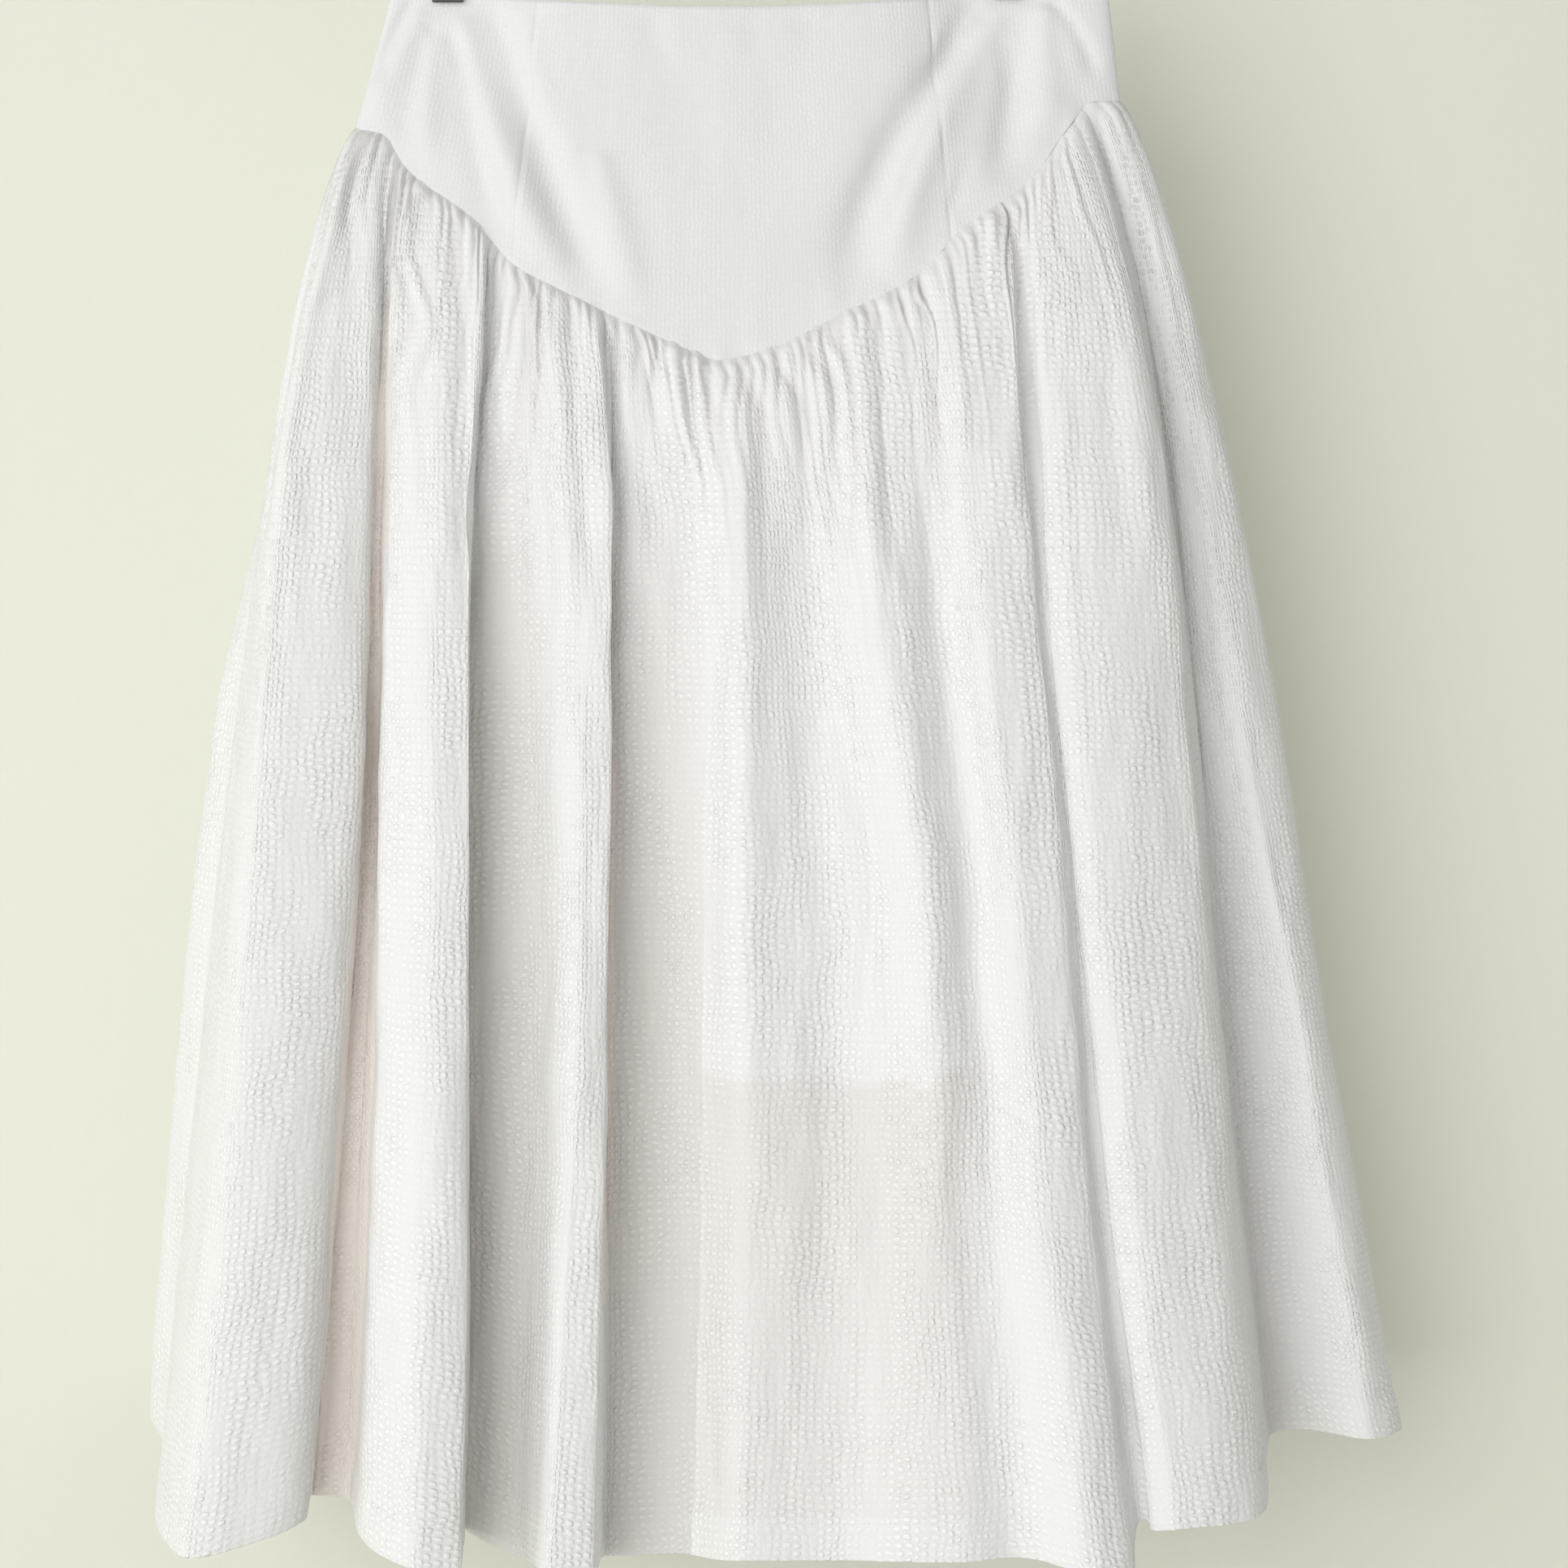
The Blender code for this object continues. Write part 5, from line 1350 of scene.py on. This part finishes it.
def seersucker(name, kind):
    """White cotton in rows of puffs: the finish, and how far each point of it is raised."""
    finish = Finish(name, 0.85)
    for socket, value in COTTON_SHEEN.items():
        finish.shader.inputs[socket].default_value = value
    spot = finish.node("ShaderNodeVectorMath", {"operation": "SCALE"}, Vector=finish.weave(),
                       Scale=1 / MM).wire(0)
    columns, rows, lively = cells(finish, spot, kind)
    cell = finish.node("ShaderNodeCombineXYZ", None, X=columns.math("FLOOR"), Y=rows.math("FLOOR")).wire()
    dice = finish.node("ShaderNodeTexWhiteNoise", {"noise_dimensions": "2D"}, Vector=cell)
    each = dice.wire("Value") * (1 - LEAST_PUFF) + LEAST_PUFF
    cross = (columns * math.pi).sin().abs()
    drop = (rows * math.pi).sin().abs()
    dome = cross * (drop * kind.rows + (1 - kind.rows))
    puff = dome.step(0.16, 0.92) * each * (lively * kind.patchy + (1 - kind.patchy))
    if kind.grows_over:
        grown = finish.mark("from_seam").step(0.0, kind.grows_over) * 0.75 + 0.25
        puff, drop = puff * grown, drop * grown
    fine_creases = finish.noise(finish.stretched(spot, *kind.crease_size), 1.0, 3.0)
    threads = finish.noise(spot, 2.2, 2.0)
    finish.bump(puff + drop * (0.16 * kind.rows) + fine_creases * kind.creases + threads * 0.10, kind.height)
    return finish, puff.step(0.05, 0.6)


skirt_finish, skirt_raised = seersucker("skirt_seersucker", SKIRT_PUFFS)
yoke_finish, yoke_raised = seersucker("yoke_seersucker", YOKE_PUFFS)
print("nodes in the skirt's cotton:", len(skirt_finish.tree.nodes))

# %% [markdown]
# ## Colours and painted shade of the cotton
#
# The white is the same cloth everywhere, and what changes is the light that it gets, which is painted
# into the colour. So each mark mixes in one more colour of painted shade: a greyer white where no
# lining lies behind, a dimmer one on the slopes behind the crests, a warm one in the narrow valleys and
# a dark one in the grooves. The sunk lines between the puffs get a painted shade too, and the yoke's
# cotton is painted a shade darker than the skirt's.

# %% Colours and painted shade of the cotton
# The first white is the cloth's own; the others are painted shades of it: greyer below the lining's hem,
# dimmer on slopes behind crests, warm in narrow valleys, dark in grooves and darker on the yoke
COTTON = (0.888, 0.893, 0.890)
UNLINED_SHADE = (0.832, 0.824, 0.810)
SLOPE_SHADE = (0.745, 0.738, 0.718)
WARM_SHADE = (0.89, 0.838, 0.797)
GROOVE_SHADE = (0.62, 0.60, 0.58)
SHADED_YOKE_COTTON = (0.786, 0.796, 0.803)
# the sunk lines between the puffs get a painted shade, as less light reaches them
GROUND, WARM_SHADE_GROUND, YOKE_GROUND = 0.915, 0.95, 0.965      # shade of the lines between puffs


def puffed(finish, raised, colour, ground=GROUND):
    """The colour on the puffs, and a painted shade of it in the sunk lines between them."""
    return finish.mix(raised, tuple(c * ground for c in colour), colour)


# painted see-through shade below the lining's hem, mostly taken off in the doubled hem band
hem_band = 1 - skirt_finish.mark("up_hem").step(22.5, 24.0)
unlined_shade = skirt_finish.mark("see_through_shade") * (1 - hem_band * 0.8)
shown = skirt_finish.mix(unlined_shade, puffed(skirt_finish, skirt_raised, COTTON),
                         puffed(skirt_finish, skirt_raised, UNLINED_SHADE))
# painted shade on the slopes behind the crests
shown = skirt_finish.mix(skirt_finish.mark("slope").step(0.0, 0.9), shown,
                         puffed(skirt_finish, skirt_raised, SLOPE_SHADE))
# painted warm shade in the narrow valleys
shown = skirt_finish.mix(skirt_finish.mark("painted_warm_shade").step(0.1, 0.9), shown,
                         puffed(skirt_finish, skirt_raised, WARM_SHADE, WARM_SHADE_GROUND))
# painted shade in the grooves of the gathers
skirt_finish.colour(skirt_finish.mix(skirt_finish.mark("painted_groove_shade") * 0.75, shown, GROOVE_SHADE))
# the yoke's cotton is the same white, painted a shade darker than the skirt's
yoke_finish.colour(puffed(yoke_finish, yoke_raised, SHADED_YOKE_COTTON, YOKE_GROUND))


def threaded(name, roughness, spot, scale, dark, light):
    """A plain finish whose threads are a little darker and lighter by turns."""
    finish = Finish(name, roughness)
    threads = finish.noise(spot(finish), scale)
    finish.colour(finish.mix(threads, dark, light))
    return finish, threads


lining_finish, lining_threads = threaded("lining_cotton", 0.8, Finish.weave, 1400.0,
                                         (0.84, 0.83, 0.81), (0.89, 0.88, 0.865))
lining_finish.bump(lining_threads, 0.08 * MM)
thread_finish, _ = threaded("white_thread", 0.6, Finish.place, 900.0,
                            (0.85, 0.85, 0.85), (0.95, 0.95, 0.95))
print("finishes:", [m.name for m in bpy.data.materials if m.users])

# %% [markdown]
# ## Metal, rubber and enamel
#
# The hanger's bar and hook are dull plated steel, and its clips have a dark plate. The pads are
# black rubber with a slight bloom, and the zip is enamelled white. One function makes them all,
# in soft patches of tone and gloss with a fine grain, so none reads as plastic.

# %% Hard finishes
Hard = namedtuple("Hard", "name dark light smooth rough metallic scale grain")
STEEL = Hard("plated_steel", (0.50, 0.50, 0.51), (0.66, 0.66, 0.67), 0.16, 0.34, 1.0, 60.0, 0.03)
PLATE = Hard("dark_plate", (0.055, 0.055, 0.058), (0.11, 0.11, 0.115), 0.35, 0.55, 1.0, 90.0, 0.03)
RUBBER = Hard("black_rubber", (0.018, 0.018, 0.02), (0.045, 0.045, 0.048), 0.55, 0.8, 0.0, 140.0, 0.06)
ENAMEL = Hard("white_enamel", (0.80, 0.80, 0.80), (0.88, 0.88, 0.88), 0.22, 0.36, 0.0, 220.0, 0.02)


def mottled(kind):
    """A hard finish in soft patches of tone and gloss, with a fine grain of some hundredths of a mm."""
    finish = Finish(kind.name, kind.rough, kind.metallic)
    patches = finish.noise(finish.place(), kind.scale, 4.0)
    finish.colour(finish.mix(patches, kind.dark, kind.light))
    finish.feed(finish.shader.inputs["Roughness"], patches * (kind.rough - kind.smooth) + kind.smooth)
    finish.bump(finish.noise(finish.place(), kind.scale * 9, 3.0), kind.grain * MM)
    return finish


steel_finish, plate_finish, rubber_finish, enamel_finish = map(mottled, (STEEL, PLATE, RUBBER, ENAMEL))
FINISH_OF = {"pad": rubber_finish, "clip": plate_finish, "hanger": steel_finish, "zip": enamel_finish,
             "lining": lining_finish, "yoke": yoke_finish, "skirt": yoke_finish}
for name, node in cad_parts.items():
    word = next(word for word in FINISH_OF if word in name)
    for slot in node.material_slots:
        slot.material = FINISH_OF[word].material
print("nodes with a finish:", len(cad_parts))

# %% [markdown]
# ## Joining the pieces to the model
#
# Each sheet takes its material, rides on the hanger's body and stands in for its solid.

# %% Ride and replace
Cut = namedtuple("Cut", "width length area")
CUT = {
    "skirt_front": Cut(1.31, 0.79, 0.86),
    "skirt_back_left": Cut(0.56, 0.79, 0.36),
    "skirt_back_right": Cut(0.60, 0.79, 0.38),
}
LEAST_WIDTH = 0.06


def joined(piece, finish):
    """Gives the piece its finish and slot, and lets it ride on the hanger's body."""
    piece.data.materials.append(finish.material)
    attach(piece, BODY)


for node, piece in pieces.items():
    part = node.split("_")[0]
    finish = {"skirt": skirt_finish, "yoke": yoke_finish, "lining": lining_finish}[part]
    joined(piece, finish)
    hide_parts(node)
    if node in CUT:
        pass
    else:
        flat_area = area_of(piece)
        low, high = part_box(node)
        width = max(high[0] - low[0], LEAST_WIDTH)
        flat_area / width

joined(hem_stitches, thread_finish)
joined(teeth, enamel_finish)
for piece in (bar, hook):
    joined(piece, steel_finish)
    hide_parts("hanger_frame")
print("pieces joined:", len(pieces) + 4)

# %% [markdown]
# ## The wall and the floor
#
# The skirt hangs just in front of a cream wall. The wall and the floor are stage, not part of the
# object. They show only the side that faces the room, so the back of the skirt can be looked at
# too.

# %% Stage
STAGE_SIZE = 9.0
WALL_BEHIND = 0.130
FLOOR_UNDER = -1.75
WALL_CREAM = (0.765, 0.777, 0.683)
FLOOR_PALE = (0.78, 0.77, 0.74)


def room_finish(name, colour):
    """Matt paint that is clear from behind, so the stage never hides the skirt."""
    finish = Finish(name, 0.9)
    finish.bump(finish.noise(finish.place(), 260.0, 3.0), 0.12 * MM)
    patches = finish.noise(finish.place(), 1.1)
    finish.colour(finish.mix(patches, colour, tuple(c * 0.97 for c in colour)))
    behind = finish.node("ShaderNodeNewGeometry").wire("Backfacing")
    clear = finish.node("ShaderNodeBsdfTransparent").wire()
    painted = Wire(finish, finish.shader.outputs[0])
    mixed = finish.node("ShaderNodeMixShader", None, Fac=behind, _1=painted, _2=clear)
    finish.feed(finish.tree.nodes["Material Output"].inputs["Surface"], mixed.wire())
    return finish


def plane(name, place, turn, finish):
    half = STAGE_SIZE / 2
    mesh = bpy.data.meshes.new(name)
    corners = [(-half, -half, 0), (half, -half, 0), (half, half, 0), (-half, half, 0)]
    mesh.from_pydata(corners, [], [(0, 1, 2, 3)])
    mesh.materials.append(finish.material)
    piece = linked(name, mesh)
    piece.location, piece.rotation_euler = place, turn
    piece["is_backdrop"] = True
    return piece


wall = plane("wall", (0, WALL_BEHIND, 0), (math.radians(90), 0, 0), room_finish("cream_wall", WALL_CREAM))
floor = plane("floor", (0, 0, FLOOR_UNDER), (0, 0, 0), room_finish("pale_floor", FLOOR_PALE))
wall.visible_shadow = False
print("stage:", wall.name, floor.name)

# %% [markdown]
# ## The light
#
# One large soft lamp stands for a window at the upper left. A weak lamp on the right and a pale
# sky fill the valleys, as a bright room does. A third lamp stands behind, so that the back isn't
# dark when it is looked at.

# %% Light
Light = namedtuple("Light", "name place size power colour")
LIGHTS = (
    Light("window", (-2.35, -3.75, 0.10), 3.8, 142.0, (1.0, 0.995, 0.985)),
    Light("room", (1.3, -2.6, -0.3), 2.2, 6.0, (1.0, 1.0, 1.0)),
    Light("behind", (0.4, 2.6, 0.6), 2.0, 40.0, (1.0, 1.0, 1.0)),
)
AIM = (0, 0, -0.6)
SKY, SKY_STRENGTH = (1.0, 0.99, 0.965, 1.0), 0.37
for light in LIGHTS:
    data = bpy.data.lights.new(light.name, "AREA")
    data.shape = "SQUARE"
    data.size, data.energy, data.color = light.size, light.power, light.colour
    lamp = linked(light.name, data)
    lamp.location = light.place
    way = np.array(AIM) - np.array(light.place)
    lamp.rotation_euler = (math.atan2(math.hypot(way[0], way[1]), -way[2]), 0.0, math.atan2(-way[0], way[1]))
world = bpy.data.worlds.new("daylight")
world.use_nodes = True
world.node_tree.nodes["Background"].inputs["Color"].default_value = SKY
world.node_tree.nodes["Background"].inputs["Strength"].default_value = SKY_STRENGTH
bpy.context.scene.world = world
bpy.context.scene.view_settings.view_transform = "Standard"
print("lights:", [light.name for light in LIGHTS])

# %% Finish
low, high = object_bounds()
